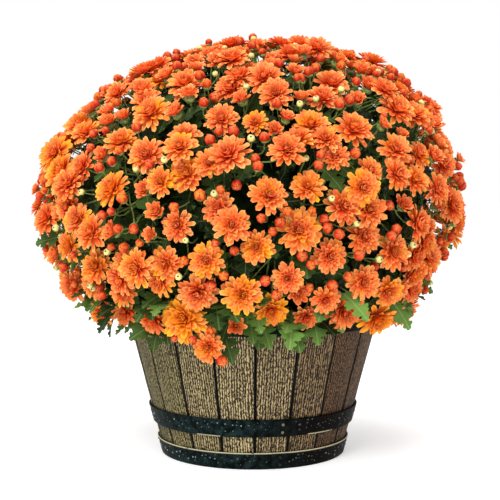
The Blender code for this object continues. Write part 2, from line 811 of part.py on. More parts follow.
def build_foliage(parts, hubs, draw):
    """Crown, leafy core, stubs under the sprays and leaves, as one body."""
    obstacles = [tree_of(obj) for obj in parts.objects if not obj.name.startswith("barrel")]
    core = turned("foliage", core_profile(), CORE_SIDES, parts, "leaf", closed=False)
    apply_modifiers(core)
    core.rotation_euler.z = 0.0
    core.data.transform(Matrix.Translation((MOUND_CENTRE.x, MOUND_CENTRE.y, 0.0)))
    for vertex in core.data.vertices:
        vertex.co = leaning(vertex.co)
    pieces = new_collection("foliage_pieces")
    foot = Vector((0.0, 0.0, STEM_HOLE_FLOOR + CLEARANCE))
    crown = rod_mesh(foot, Vector((0.0, 0.0, MOUND_CENTRE.z)), CROWN_RADIUS, CROWN_RADIUS, 8)
    add_object("crown", crown, pieces)
    for place in hubs:
        foot, normal = hub_foot(place)
        root = foot - (CORE_SINK - HUB_SINK + ROOT_DEPTH) * normal
        rod = rod_mesh(root, foot - CLEARANCE * normal, STUB_RADIUS, 0.8 * STUB_RADIUS, 4)
        obstacles.append(tree_of(add_object("stub", rod, pieces)))
    feet = [mound_point(*place) for place in hubs]
    for latitude, azimuth in even_places(GAP_LEAVES, LOWEST_BLOOM, GAP_LEAVES_TURN):
        spot = mound_point(latitude, azimuth)
        if min((spot - foot).length for foot in feet) > GAP_LEAF_FROM_HUB:
            place_leaf(pieces, obstacles, gap_leaf_draws(draw, latitude, azimuth))
    for index in range(SKIRT_LEAVES):
        azimuth = math.tau * index / SKIRT_LEAVES
        place_leaf(pieces, obstacles, skirt_leaf_draws(draw, azimuth))
    join_collection(core, pieces)


def smooth_round_pieces(objects):
    for obj in objects:
        obj.data.shade_smooth()
        obj.data.set_sharp_from_angle(angle=math.radians(35))


def main():
    clear_scene()
    parts = new_collection("pot_chrysanthemum")
    cutters = new_collection("cutters")
    build_staves(parts)
    build_head(parts, cutters)
    smooth_round_pieces(build_hoops(parts))
    build_soil(parts)
    hubs, blooms, draw = bloom_layout()
    buds = bud_layout(hubs, blooms, draw)
    build_sprays(parts, hubs, blooms, buds)
    bpy.context.view_layer.update()
    build_foliage(parts, hubs, draw)


main()
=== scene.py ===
"""The looks of a pot chrysanthemum: a mounded garden mum, planted in a coopered half barrel.

Metres, +Z up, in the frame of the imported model. Fine pieces replace its plain solids: double blooms in
their layers of petals, buds, lobed leaves and stems on the plant, and carved staves, wet iron hoops and
crumbly soil on the barrel.
"""

import json
import logging
import math
import random
from collections.abc import Iterable, Iterator, Mapping, Sequence
from dataclasses import dataclass, field
from enum import Enum
from typing import Any

import bmesh
import bpy
import numpy as np
from bmesh.types import BMesh, BMVert
from bpy.types import Collection, Material, Mesh, NodeSocket, NodeTree, Object
from mathutils import Matrix, Quaternion, Vector, noise
from mathutils.kdtree import KDTree

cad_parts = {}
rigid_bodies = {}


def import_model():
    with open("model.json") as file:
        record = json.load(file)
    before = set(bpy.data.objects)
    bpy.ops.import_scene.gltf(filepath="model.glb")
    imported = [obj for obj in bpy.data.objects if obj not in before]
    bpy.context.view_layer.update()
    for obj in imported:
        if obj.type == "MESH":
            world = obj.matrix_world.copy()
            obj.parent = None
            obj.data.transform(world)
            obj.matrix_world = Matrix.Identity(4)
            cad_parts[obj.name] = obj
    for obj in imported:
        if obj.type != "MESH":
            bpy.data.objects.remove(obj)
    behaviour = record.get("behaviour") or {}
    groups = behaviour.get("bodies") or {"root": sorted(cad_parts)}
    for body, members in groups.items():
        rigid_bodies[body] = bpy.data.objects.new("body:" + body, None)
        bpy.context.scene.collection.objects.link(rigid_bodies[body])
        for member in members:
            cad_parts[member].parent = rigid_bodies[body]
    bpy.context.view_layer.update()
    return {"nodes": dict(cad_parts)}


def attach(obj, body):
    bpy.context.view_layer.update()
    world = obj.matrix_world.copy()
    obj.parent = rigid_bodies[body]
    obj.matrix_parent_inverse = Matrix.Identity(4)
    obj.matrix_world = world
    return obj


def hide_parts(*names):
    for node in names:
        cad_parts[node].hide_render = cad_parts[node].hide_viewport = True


LOG = logging.getLogger("pot_chrysanthemum")
GOLDEN_ANGLE = math.pi * (3 - math.sqrt(5))
UP = Vector((0.0, 0.0, 1.0))
ALL_SMOOTH = 180.0
BLADE_SHARP = 70.0
HEWN_SHARP = 50.0
IRON_SHARP = 40.0

Pair = tuple[float, float]
Triple = tuple[float, float, float]
Colour = Triple


def paint(code: str) -> Colour:
    """Turns a screen colour such as "E27C2B" into linear light.

    Args:
        code: Six hexadecimal digits.

    Returns:
        Red, green and blue from 0 to 1.
    """
    shares = (int(code[place : place + 2], 16) / 255 for place in (0, 2, 4))
    return tuple(share / 12.92 if share < 0.04045 else ((share + 0.055) / 1.055) ** 2.4 for share in shares)


def paints(codes: str) -> list[Colour]:
    """Several screen colours, with spaces between them, as linear light."""
    return [paint(code) for code in codes.split()]


# Nodes

class Signal:
    """A node's output, which takes part in Python expressions."""

    def __init__(self, graph: "Graph", socket: NodeSocket) -> None:
        """Keeps the socket and the graph that new nodes go to."""
        self.graph = graph
        self.socket = socket

    def __add__(self, other: "Signal | float") -> "Signal":
        """Sum of two numbers."""
        return self.graph.maths("ADD", self, other)

    def __sub__(self, other: "Signal | float") -> "Signal":
        """Difference of two numbers."""
        return self.graph.maths("SUBTRACT", self, other)

    def __rsub__(self, other: float) -> "Signal":
        """Difference of a plain number and this one."""
        return self.graph.maths("SUBTRACT", other, self)

    def __mul__(self, other: "Signal | float") -> "Signal":
        """Product of two numbers."""
        return self.graph.maths("MULTIPLY", self, other)

    def __truediv__(self, other: "Signal | float") -> "Signal":
        """Quotient of two numbers."""
        return self.graph.maths("DIVIDE", self, other)

    def __pow__(self, other: "Signal | float") -> "Signal":
        """This number raised to a power."""
        return self.graph.maths("POWER", self, other)

    def __neg__(self) -> "Signal":
        """This number with its sign turned."""
        return self.graph.maths("MULTIPLY", self, -1.0)

    __radd__ = __add__
    __rmul__ = __mul__

    def clamped(self) -> "Signal":
        """This number held between 0 and 1."""
        return self.graph.node("ShaderNodeClamp", inputs={"Value": self})

    def size(self) -> "Signal":
        """This number without its sign."""
        return self.graph.maths("ABSOLUTE", self)

    def over(self, low: float, high: float) -> "Signal":
        """Rises smoothly from 0 to 1 while this number goes from low to high."""
        ends = {"Value": self, "From Min": low, "From Max": high}
        return self.graph.node("ShaderNodeMapRange", {"interpolation_type": "SMOOTHSTEP"}, ends)

    def sibling(self, name: str) -> "Signal":
        """Another output of the same node."""
        return Signal(self.graph, self.socket.node.outputs[name])


class Graph:
    """Adds nodes to one tree, with settings first, because they change which sockets a node has."""

    def __init__(self, tree: NodeTree) -> None:
        """Keeps the tree."""
        self.tree = tree

    def node(
        self,
        kind: str,
        settings: Mapping[str, Any] | None = None,
        inputs: Mapping[str | int, Any] | None = None,
        output: str | int = 0,
    ) -> Signal:
        """Adds a node.

        Args:
            kind: The node's type in Blender.
            settings: Its properties, such as a Math node's operation.
            inputs: A value or a signal for each socket, by name or number.
            output: The output to return, by name or by number among those in use.

        Returns:
            The output as a signal.
        """
        made = self.tree.nodes.new(kind)
        for name, value in (settings or {}).items():
            setattr(made, name, value)
        for key, value in (inputs or {}).items():
            self._feed(self._pick(made.inputs, key), value)
        return Signal(self, self._pick(made.outputs, output))

    def maths(self, operation: str, *values: Signal | float) -> Signal:
        """A Math node on one to three numbers."""
        return self.node("ShaderNodeMath", {"operation": operation}, dict(enumerate(values)))

    def vector(self, operation: str, *values: Any) -> Signal:
        """A Vector Math node on vectors."""
        return self.node("ShaderNodeVectorMath", {"operation": operation}, dict(enumerate(values)))

    def joined(self, x: Signal | float, y: Signal | float, z: Signal | float) -> Signal:
        """A vector of three numbers."""
        return self.node("ShaderNodeCombineXYZ", inputs={"X": x, "Y": y, "Z": z})

    def parted(self, vector: Signal) -> tuple[Signal, Signal, Signal]:
        """The three numbers of a vector."""
        x = self.node("ShaderNodeSeparateXYZ", inputs={"Vector": vector})
        return x, x.sibling("Y"), x.sibling("Z")

    def blend(self, factor: Signal | float, first: Any, second: Any, how: str = "MIX") -> Signal:
        """Mixes two colours.

        Args:
            factor: Share of the second colour.
            first: A colour or a signal.
            second: A colour or a signal.
            how: Blender's name of the way they mix.

        Returns:
            The mixed colour.
        """
        settings = {"data_type": "RGBA", "blend_type": how}
        return self.node("ShaderNodeMix", settings, {"Factor": factor, "A": first, "B": second})

    def grain(self, vector: Signal, scale: float, detail: float = 2.0, rough: float = 0.5) -> Signal:
        """Noise from 0 to 1 over a vector."""
        inputs = {"Vector": vector, "Scale": scale, "Detail": detail, "Roughness": rough}
        return self.node("ShaderNodeTexNoise", inputs=inputs)

    def _feed(self, socket: NodeSocket, value: Any) -> None:
        """Gives a socket what it reads.

        Args:
            socket: An input of a node.
            value: A signal to link, or the socket's own value.
        """
        if isinstance(value, Signal):
            self.tree.links.new(value.socket, socket)
        elif socket.type == "RGBA":
            socket.default_value = (*value, 1.0)
        else:
            socket.default_value = value

    @staticmethod
    def _pick(sockets: Iterable[NodeSocket], key: str | int) -> NodeSocket:
        """The socket in use that has this name or number."""
        used = [socket for socket in sockets if socket.enabled]
        return used[key] if isinstance(key, int) else next(one for one in used if one.name == key)


class FinishGraph(Graph):
    """The nodes of one material."""

    def __init__(self, name: str) -> None:
        """Starts a material from its Principled shader.

        Args:
            name: The material's name.
        """
        self.material = bpy.data.materials.new(name)
        self.material.use_nodes = True
        super().__init__(self.material.node_tree)
        self.shader = self.tree.nodes["Principled BSDF"]

    def attribute(self, name: str) -> Signal:
        """A number that the mesh holds under this name."""
        settings = {"attribute_type": "GEOMETRY", "attribute_name": name}
        return self.node("ShaderNodeAttribute", settings, output="Fac")

    def place(self, stretch: Sequence[float] = (1.0, 1.0, 1.0)) -> Signal:
        """The point's place on the object, in metres, stretched along each axis."""
        here = self.node("ShaderNodeTexCoord", output="Object")
        return self.vector("MULTIPLY", here, tuple(stretch))

    def relief(self, height: Signal, depth: float, strength: float = 1.0) -> Signal:
        """A normal that follows a height of this depth in metres."""
        inputs = {"Height": height, "Distance": depth, "Strength": strength}
        return self.node("ShaderNodeBump", inputs=inputs)

    def done(self, **sockets: Any) -> Material:
        """Feeds the shader and returns the material.

        Args:
            **sockets: The shader's sockets, with _ for the spaces in their names.

        Returns:
            The finished material.
        """
        for name, value in sockets.items():
            self._feed(self.shader.inputs[name.replace("_", " ").title().replace("Ior", "IOR")], value)
        return self.material


class FormGraph(Graph):
    """A Geometry Nodes tree with named inputs, whose result is real faces."""

    def __init__(self, name: str) -> None:
        """Starts a tree that takes a geometry.

        Args:
            name: The tree's name.
        """
        super().__init__(bpy.data.node_groups.new(name, "GeometryNodeTree"))
        for way in ("INPUT", "OUTPUT"):
            self.tree.interface.new_socket("Geometry", in_out=way, socket_type="NodeSocketGeometry")
        self.entry = self.tree.nodes.new("NodeGroupInput")
        self.exit = self.tree.nodes.new("NodeGroupOutput")

    def start(self) -> Signal:
        """The geometry that the modifier hands in."""
        return Signal(self, self.entry.outputs["Geometry"])

    def taken(self, name: str, kind: str = "Float") -> Signal:
        """A named input of the tree.

        Args:
            name: The input's name.
            kind: The end of Blender's name for its socket, such as Float, Int, Material or Object.

        Returns:
            The input as a signal.
        """
        self.tree.interface.new_socket(name, in_out="INPUT", socket_type=f"NodeSocket{kind}")
        return Signal(self, self.entry.outputs[name])

    def stored(self, name: str, kind: str = "FLOAT") -> Signal:
        """An attribute of the geometry."""
        return self.node("GeometryNodeInputNamedAttribute", {"data_type": kind}, {"Name": name})

    def chance(self, low: float, high: float, seed: Signal | int) -> Signal:
        """A random number between two values, fixed for each element and seed."""
        return self.node("FunctionNodeRandomValue", inputs={"Min": low, "Max": high, "Seed": seed})

    def turn(self, x: Signal | float, y: Signal | float, z: Signal | float) -> Signal:
        """A rotation about X, then Y, then Z."""
        return self.node("FunctionNodeEulerToRotation", inputs={"Euler": self.joined(x, y, z)})

    def dressed(self, geometry: Signal, finish: Signal) -> Signal:
        """Real faces with a material."""
        real = self.node("GeometryNodeRealizeInstances", inputs={"Geometry": geometry})
        return self.node("GeometryNodeSetMaterial", inputs={"Geometry": real, "Material": finish})

    def copies(self, points: Signal, shape: Signal, turn: Signal, scale: Signal, **more: Any) -> Signal:
        """Copies of a shape on points.

        Args:
            points: Where they stand.
            shape: The shape.
            turn: Each copy's rotation.
            scale: Each copy's size along its own axes.
            **more: Other sockets, with _ for the spaces in their names.

        Returns:
            The copies, not yet real.
        """
        inputs = {"Points": points, "Instance": shape, "Rotation": turn, "Scale": scale}
        inputs |= {name.replace("_", " "): value for name, value in more.items()}
        return self.node("GeometryNodeInstanceOnPoints", inputs=inputs)

    def moved(self, points: Signal, step: Signal, turn: Signal) -> Signal:
        """Moves points by a step along their own axes.

        Args:
            points: The points.
            step: The step.
            turn: Each point's rotation.

        Returns:
            The points at their new places.
        """
        offset = self.node("FunctionNodeRotateVector", inputs={"Vector": step, "Rotation": turn})
        return self.node("GeometryNodeSetPosition", inputs={"Geometry": points, "Offset": offset})

    def choice(self, shapes: Signal) -> Signal:
        """The shapes of a collection, to pick one from for each copy."""
        inputs = {"Collection": shapes, "Separate Children": True, "Reset Children": True}
        return self.node("GeometryNodeCollectionInfo", inputs=inputs)

    def tubes(self, lines: Signal, sides: Signal) -> Signal:
        """Closed tubes of so many sides along lines, as thick as the attribute of that name says.

        Args:
            lines: A mesh of edges.
            sides: How many sides they have.

        Returns:
            The tubes.
        """
        curve = self.node("GeometryNodeMeshToCurve", inputs={"Mesh": lines})
        profile = self.node("GeometryNodeCurvePrimitiveCircle", inputs={"Resolution": sides, "Radius": 1.0})
        inputs = {"Curve": curve, "Profile Curve": profile, "Scale": self.stored("thick"), "Fill Caps": True}
        return self.node("GeometryNodeCurveToMesh", inputs=inputs)

    def together(self, *parts: Signal) -> Signal:
        """Joins geometries.

        Args:
            *parts: The geometries, in the order in which their materials are numbered.

        Returns:
            All of them as one.
        """
        joined = self.node("GeometryNodeJoinGeometry")
        socket = joined.socket.node.inputs[0]
        for part in reversed(parts):
            self.tree.links.new(part.socket, socket)
        return joined

    def end(self, geometry: Signal) -> None:
        """Sends the geometry out."""
        self.tree.links.new(geometry.socket, self.exit.inputs["Geometry"])

    def grown(self, name: str, base: Mesh, values: Mapping[str, Any]) -> Mesh:
        """Runs the tree on a mesh.

        Args:
            name: Name of the new mesh.
            base: The mesh that the tree starts from. It is removed.
            values: The tree's inputs by name.

        Returns:
            The result as a plain mesh.
        """
        carrier = shown(name, base)
        modifier = carrier.modifiers.new("form", "NODES")
        modifier.node_group = self.tree
        for item in self.tree.interface.items_tree:
            if item.name in values and item.in_out == "INPUT":
                modifier[item.identifier] = values[item.name]
        graph = bpy.context.evaluated_depsgraph_get()
        mesh = bpy.data.meshes.new_from_object(carrier.evaluated_get(graph))
        mesh.name = name
        bpy.data.objects.remove(carrier)
        bpy.data.meshes.remove(base)
        drop_empty_slots(mesh)
        return mesh


# Meshes

def shown(name: str, data: Any) -> Object:
    """Adds an object to the scene.

    Args:
        name: The object's name.
        data: Its mesh, light or camera.

    Returns:
        The object.
    """
    made = bpy.data.objects.new(name, data)
    bpy.context.scene.collection.objects.link(made)
    return made


def mesh_of(bm: BMesh, name: str, sharp: float | None = None) -> Mesh:
    """Turns a bmesh into a mesh and frees it.

    Args:
        bm: The bmesh.
        name: The mesh's name.
        sharp: The mesh is smooth but for edges of more degrees than this, or flat if it is left out.

    Returns:
        The mesh.
    """
    mesh = bpy.data.meshes.new(name)
    bm.to_mesh(mesh)
    bm.free()
    if sharp:
        mesh.shade_smooth()
        mesh.set_sharp_from_angle(angle=math.radians(sharp))
    return mesh


def lathe(bm: BMesh, profile: Iterable[Pair], sides: int) -> list[list[BMVert]]:
    """Adds a ring of points round +Z for each radius and height of a profile."""
    angles = [math.tau * k / sides for k in range(sides)]
    return [[bm.verts.new((r * math.cos(a), r * math.sin(a), z)) for a in angles] for r, z in profile]


def skin(bm: BMesh, rings: Sequence[list[BMVert]], capped: bool = True, turned: bool = False) -> None:
    """Adds the faces between rings of points.

    Args:
        bm: The bmesh that holds the points.
        rings: Rings of one length, which run counterclockwise as seen from the last one.
        capped: Whether the first and the last ring are filled too.
        turned: Whether the rings run the other way round.
    """
    for near, far in zip(rings, rings[1:]):
        for k, corner in enumerate(near):
            after = (k + 1) % len(near)
            others = (near[after], far[after], far[k])
            bm.faces.new((corner, *(others[::-1] if turned else others)))
    if capped:
        bm.faces.new(rings[0] if turned else rings[0][::-1])
        bm.faces.new(rings[-1][::-1] if turned else rings[-1])


def hold(mesh: Mesh, name: str, values: Sequence[Any], kind: str = "FLOAT") -> None:
    """Writes one value for each point of a mesh.

    Args:
        mesh: The mesh.
        name: Name of the attribute.
        values: Numbers, vectors or quaternions, one for each point.
        kind: FLOAT, INT, FLOAT_VECTOR or QUATERNION.
    """
    made = mesh.attributes.new(name, kind, "POINT")
    key = "vector" if kind == "FLOAT_VECTOR" else "value"
    made.data.foreach_set(key, np.array(values, dtype=np.float32 if kind != "INT" else np.int32).ravel())


def mark_blade(mesh: Mesh, along: Sequence[float], across: Sequence[float]) -> None:
    """Stores where each point of a petal or leaf lies on it, and that its faces' second half is its back.

    Args:
        mesh: The petal or leaf.
        along: Each point's share of the length.
        across: Each point's share of the width, with a sign.
    """
    hold(mesh, "along", along)
    hold(mesh, "across", across)
    backs = mesh.attributes.new("under", "FLOAT", "FACE")
    count = len(mesh.polygons)
    backs.data.foreach_set("value", [float(index >= count // 2) for index in range(count)])


def keep_only(mesh: Mesh, names: Iterable[str]) -> None:
    """Drops every attribute of the builder's own that the finishes don't read.

    Args:
        mesh: The mesh.
        names: The attributes that they read.
    """
    kept = {"position", "sharp_edge", "sharp_face", "material_index", *names}
    doomed = [one.name for one in mesh.attributes if one.name not in kept and not one.name.startswith(".")]
    for name in doomed:
        mesh.attributes.remove(mesh.attributes[name])


def drop_empty_slots(mesh: Mesh) -> None:
    """Takes out the material slots that hold nothing, and renumbers the faces.

    Args:
        mesh: The mesh, with at least one full slot.
    """
    filled = [index for index, finish in enumerate(mesh.materials) if finish]
    numbers = np.zeros(len(mesh.polygons), dtype=np.int32)
    mesh.polygons.foreach_get("material_index", numbers)
    finishes = [mesh.materials[index] for index in filled]
    mesh.materials.clear()
    for finish in finishes:
        mesh.materials.append(finish)
    renumbered = np.zeros(max(filled) + 1, dtype=np.int32)
    renumbered[filled] = np.arange(len(filled))
    mesh.polygons.foreach_set("material_index", renumbered[numbers])


def add_piece(name: str, mesh: Mesh, stands_for: Iterable[str]) -> Object:
    """Shows a mesh as a piece of the part, in place of nodes of the frame.

    Args:
        name: The piece's name.
        mesh: Its mesh, already in place.
        stands_for: The nodes that it replaces.

    Returns:
        The piece.
    """
    piece = shown(name, mesh)
    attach(piece, "root")
    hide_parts(*stands_for)
    LOG.info("%s: %d faces for %s", name, len(mesh.polygons), ", ".join(stands_for))
    return piece


def kit(name: str, meshes: Sequence[Mesh]) -> Collection:
    """Gathers shapes to be copied, and keeps them out of the scene.

    Args:
        name: The collection's name.
        meshes: The shapes in the order of their numbers.

    Returns:
        The collection.
    """
    shapes = bpy.data.collections.new(name)
    for index, mesh in enumerate(meshes):
        shapes.objects.link(bpy.data.objects.new(f"{name}_{index:02d}", mesh))
    return shapes


def discard(shapes: Collection) -> None:
    """Removes a collection of shapes when nothing copies them any more.

    Args:
        shapes: The collection.
    """
    for shape in list(shapes.objects):
        bpy.data.objects.remove(shape)
    bpy.data.collections.remove(shapes)


def basis(x: Vector, z: Vector) -> Quaternion:
    """Finds the rotation that turns +X to x, and +Z to z as nearly as it can.

    Args:
        x: A direction.
        z: Another direction.

    Returns:
        The rotation.
    """
    x = x.normalized()
    y = z.cross(x).normalized()
    return Matrix((x, y, x.cross(y))).transposed().to_quaternion()


def facing(way: Vector, spin: float = 0.0) -> Quaternion:
    """The rotation that turns +Z to a direction, after a spin about it."""
    return way.to_track_quat("Z", "Y") @ Quaternion(UP, spin)


def level(azimuth: float) -> Vector:
    """The level direction at an azimuth."""
    return Vector((math.cos(azimuth), math.sin(azimuth), 0.0))


def nudge(draw: random.Random, reach: float) -> Vector:
    """A random step of up to this much along each axis."""
    return Vector([draw.uniform(-reach, reach) for _ in range(3)])


# Finishes

@dataclass(frozen=True)
class PetalFinish:
    """Petals that glow from a red heart through orange to a golden edge.

    The heart, body and edge lie along a petal. Its edge is bright and its body gold where the tint is
    high, and its body is blush where the tint is low.
    """

    name: str
    heart: Colour
    body: Colour
    edge: Colour
    bright: Colour
    blush: Colour
    gold: Colour
    back: Colour
    tips: float = 0.76
    tip_start: float = 4.0
    # Share of painted shade on the flanks of bud petals, in the creases between them.
    seam_shade: float = 0.0
    patches: float = 62.0
    drift: float = 1.5
    variety: float = 0.22
    lines: Pair = (6.0, 1.1)
    line_shade: float = 0.38
    ripening: Pair = (0.10, 0.70)
    relief: float = 0.0004
    sheen: float = 0.08

    def material(self) -> Material:
        """Builds the material.

        Returns:
            The material.
        """
        g = FinishGraph(self.name)
        along, across = g.attribute("along"), g.attribute("across")
        layer, chance = g.attribute("layer"), g.attribute("chance")
        drift = g.grain(g.place(), self.patches, 1.0) - 0.5
        tint = g.attribute("tint") + self.drift * drift + self.variety * (chance - 0.5)
        lines = g.joined(across * self.lines[0], along * self.lines[1], chance * 40.0)
        lines = g.grain(lines, 1.0, 2.0)
        ripe = along.over(*self.ripening)
        colour = g.blend(ripe, self.heart, self.body)
        colour = g.blend((1.0 - tint).over(0.35, 1.0) * 0.7, colour, g.blend(ripe, self.heart, self.blush))
        colour = g.blend(tint.over(0.45, 1.05) * 0.85, colour, g.blend(ripe, self.body, self.gold))
        colour = g.blend(layer.over(0.40, 0.95) * 0.55, colour, self.heart)
        flanks = (across ** 2.0) * (0.8 - self.seam_shade) * along.over(0.15, 0.7)
        rim = (flanks + along ** self.tip_start).clamped()
        edge = g.blend(tint.over(0.55, 1.10), self.edge, self.bright)
        colour = g.blend(rim * self.tips * (0.5 + chance) * (1.0 - 0.4 * layer), colour, edge)
        # Darker flanks of each bud petal, towards the heart colour: painted shade in the creases between the
        # bud's petals.
        colour = g.blend(across.size().over(0.25, 0.75) * self.seam_shade, colour, self.heart)
        colour = g.blend(lines.over(0.45, 0.70) * self.line_shade, colour, self.heart)
        colour = g.blend(g.attribute("under") * (0.55 - 0.5 * layer), colour, self.back)
        return g.done(
            base_color=colour,
            roughness=0.62 + 0.12 * lines,
            normal=g.relief(lines, self.relief, 0.5),
            specular_ior_level=self.sheen,
        )


PETAL_COLOURS = paints("D62E12 F87224 FFBA6E FFBE36 F25228 FFA020 F28040")
BUD_COLOURS = paints("9C1C08 DC4220 FFA05A FFB04A CC2A1C F48A2C BE3018")
YOUNG_COLOURS = paints("B4AA46 E6DC84 F8F2BE F8F2BE E4A24A E8E292 D4CE7C")
PETAL_FINISHES = {
    "petal": PetalFinish("chrysanthemum_petal", *PETAL_COLOURS),
    "bud": PetalFinish("chrysanthemum_bud", *BUD_COLOURS, tips=1.15, tip_start=3.0, seam_shade=0.8),
    "young": PetalFinish("chrysanthemum_young_bud", *YOUNG_COLOURS),
}


@dataclass(frozen=True)
class LeafFinish:
    """Lobed leaves with paler veins, dark green inside the bush and fresher outside; the near-black green of
    the inner leaves is painted shade.
    """

    name: str = "chrysanthemum_leaf"
    # Near-black green: a dark leaf colour, and on the inner leaves painted shade.
    deep_green_and_shade: Colour = paint("0C1804")
    fresh: Colour = paint("6E9442")
    vein: Colour = paint("A0BC78")
    back: Colour = paint("52703A")
    blotches: float = 60.0
    rib: float = 0.022
    side_veins: float = 4.2
    slant: float = 0.75
    relief: float = 0.0012
    sheen: float = 0.10

    def material(self) -> Material:
        """Builds the material.

        Returns:
            The material.
        """
        g = FinishGraph(self.name)
        along, across = g.attribute("along"), g.attribute("across").size()
        blotch = g.grain(g.place(), self.blotches, 3.0)
        rib = 1.0 - across.over(0.0, self.rib)
        wave = g.maths("SINE", (along - across * self.slant) * (math.tau * self.side_veins)).size()
        side = (1.0 - wave.over(0.0, 0.20)) * (1.0 - across.over(0.12, 0.30))
        veins = g.maths("MAXIMUM", rib, side * 0.7)
        # Low tints give the near-black green, which on the inner leaves is painted shade.
        colour = g.blend((g.attribute("tint") * (0.65 + 0.7 * blotch)).clamped(), self.deep_green_and_shade, self.fresh)
        colour = g.blend(veins * (0.16 + 0.36 * g.attribute("tint")), colour, self.vein)
        colour = g.blend(g.attribute("under") * 0.6, colour, self.back)
        return g.done(
            base_color=colour,
            roughness=0.48 + 0.22 * blotch,
            normal=g.relief(blotch - veins * 0.8, self.relief, 0.6),
            specular_ior_level=self.sheen,
        )


@dataclass(frozen=True)
class GrainFinish:
    """A dull surface of two colours, mixed by one noise that raises it too."""

    name: str
    dark: Colour
    light: Colour
    scale: float
    detail: float
    depth: float
    roughness: float
    rough: float = 0.5
    stretch: Triple = (1.0, 1.0, 1.0)
    spread: Pair = (0.3, 0.7)
    strength: float = 1.0
    specular: float = 0.5

    def material(self) -> Material:
        """Builds the material.

        Returns:
            The material.
        """
        g = FinishGraph(self.name)
        grain = g.grain(g.place(self.stretch), self.scale, self.detail, self.rough)
        return g.done(
            base_color=g.blend(grain.over(*self.spread), self.dark, self.light),
            roughness=self.roughness,
            normal=g.relief(grain, self.depth, self.strength),
            specular_ior_level=self.specular,
        )


STEM_FINISH = GrainFinish(
    "chrysanthemum_stem",
    dark=paint("4C6427"),
    light=paint("93A552"),
    scale=420.0,
    detail=3.0,
    depth=0.0003,
    roughness=0.6,
    stretch=(1.0, 1.0, 0.3),
    strength=0.6,
)
# The shade inside the bush: a near-black body put where the bush is in shade, painted shade.
SHADE_FINISH = GrainFinish(
    "bush_inside",
    dark=paint("0A1204"),
    light=paint("1A2C0D"),
    scale=90.0,
    detail=4.0,
    depth=0.004,
    roughness=0.8,
    spread=(0.4, 0.7),
    specular=0.05,
)
BOARD_FINISH = GrainFinish(
    "foot_board",
    dark=paint("2E2216"),
    light=paint("7A6242"),
    scale=1.0,
    detail=4.0,
    depth=0.0008,
    roughness=0.85,
    rough=0.6,
    stretch=(60.0, 900.0, 60.0),
    strength=0.7,
)


# Mound: the rule that places sprays, blooms, buds and leaves, as on the frame

@dataclass(frozen=True)
class Mound:
    """The plant's outline: an ellipsoid with a taller lower half, through the faces of the blooms."""

    centre: Vector = Vector((-0.006, 0.0, 0.325))
    radius: float = 0.262
    rise: float = 0.196
    drop: float = 0.215
    lean: float = 0.10
    steps: int = 720
    lowest_spray: float = math.radians(-36)
    lowest_bloom: float = math.radians(-41)

    def axes(self, latitude: float, sink: float) -> Pair:
        """Half width and half height at a depth under the surface."""
        return self.radius - sink, (self.rise if latitude > 0 else self.drop) - sink

    def point(self, latitude: float, azimuth: float, sink: float = 0.0) -> Vector:
        """Finds a point of the mound.

        Args:
            latitude: Its angle above the widest ring.
            azimuth: Its angle round the axis.
            sink: Its depth under the surface.

        Returns:
            The point.
        """
        wide, tall = self.axes(latitude, sink)
        flat = wide * math.cos(latitude)
        offset = Vector((flat * math.cos(azimuth), flat * math.sin(azimuth), tall * math.sin(latitude)))
        spot = self.centre + offset
        return Vector((spot.x + self.lean * max(0.0, spot.z - self.centre.z), spot.y, spot.z))

    def normal(self, latitude: float, azimuth: float) -> Vector:
        """Finds the way out of the mound at a place.

        Args:
            latitude: The place's angle above the widest ring.
            azimuth: Its angle round the axis.

        Returns:
            The direction, of unit length.
        """
        wide, tall = self.axes(latitude, 0.0)
        flat = math.cos(latitude) / wide
        normal = Vector((flat * math.cos(azimuth), flat * math.sin(azimuth), math.sin(latitude) / tall))
        if latitude > 0:
            normal.z -= self.lean * normal.x
        return normal.normalized()

    def place(self, point: Sequence[float]) -> Pair:
        """Finds the place on the surface that lies in the direction of a point.

        Args:
            point: The point.

        Returns:
            The place's latitude and azimuth.
        """
        offset = Vector(point) - self.centre
        offset.x -= self.lean * max(0.0, offset.z)
        tall = self.rise if offset.z > 0 else self.drop
        flat = math.hypot(offset.x, offset.y) / self.radius
        return math.atan2(offset.z / tall, flat), math.atan2(offset.y, offset.x)

    def even_places(self, count: int, lowest: float, turn: float = 0.0) -> list[Pair]:
        """Places spread evenly by area, as a spiral from the mound's top down to a latitude.

        Args:
            count: How many places.
            lowest: Latitude of the lowest.
            turn: Azimuth of the first.

        Returns:
            A latitude and an azimuth for each.
        """
        step = (math.pi / 2 - lowest) / self.steps
        lats = [math.pi / 2 - step * (k + 0.5) for k in range(self.steps)]
        areas = []
        for lat in lats:
            wide, tall = self.axes(lat, 0.0)
            slope = math.hypot(wide * math.sin(lat), tall * math.cos(lat))
            areas.append(wide * math.cos(lat) * slope)
        reached = np.cumsum(areas) / sum(areas)
        picked = np.interp((np.arange(count) + 0.5) / count, reached, lats)
        return [(float(lat), turn + index * GOLDEN_ANGLE) for index, lat in enumerate(picked)]

    @staticmethod
    def tangents(normal: Vector) -> tuple[Vector, Vector]:
        """Finds two directions across a normal.

        Args:
            normal: A direction of unit length.

        Returns:
            A level direction and one up the slope.
        """
        side = UP.cross(normal)
        side = side.normalized() if side.length > 0.05 else Vector((1, 0, 0))
        return side, normal.cross(side)

    def across(self, normal: Vector, angle: float) -> Vector:
        """The direction across a normal that is this angle from the level one."""
        side, up = self.tangents(normal)
        return math.cos(angle) * side + math.sin(angle) * up

    def beside(self, latitude: float, azimuth: float, angle: float, reach: float) -> Vector:
        """The point at a distance from a surface point, at an angle across the slope."""
        return self.point(latitude, azimuth) + reach * self.across(self.normal(latitude, azimuth), angle)


class Stage(Enum):
    """How far a flower head has opened."""

    OPEN = "open"
    HALF = "half"
    BUD = "bud"
    YOUNG = "young"


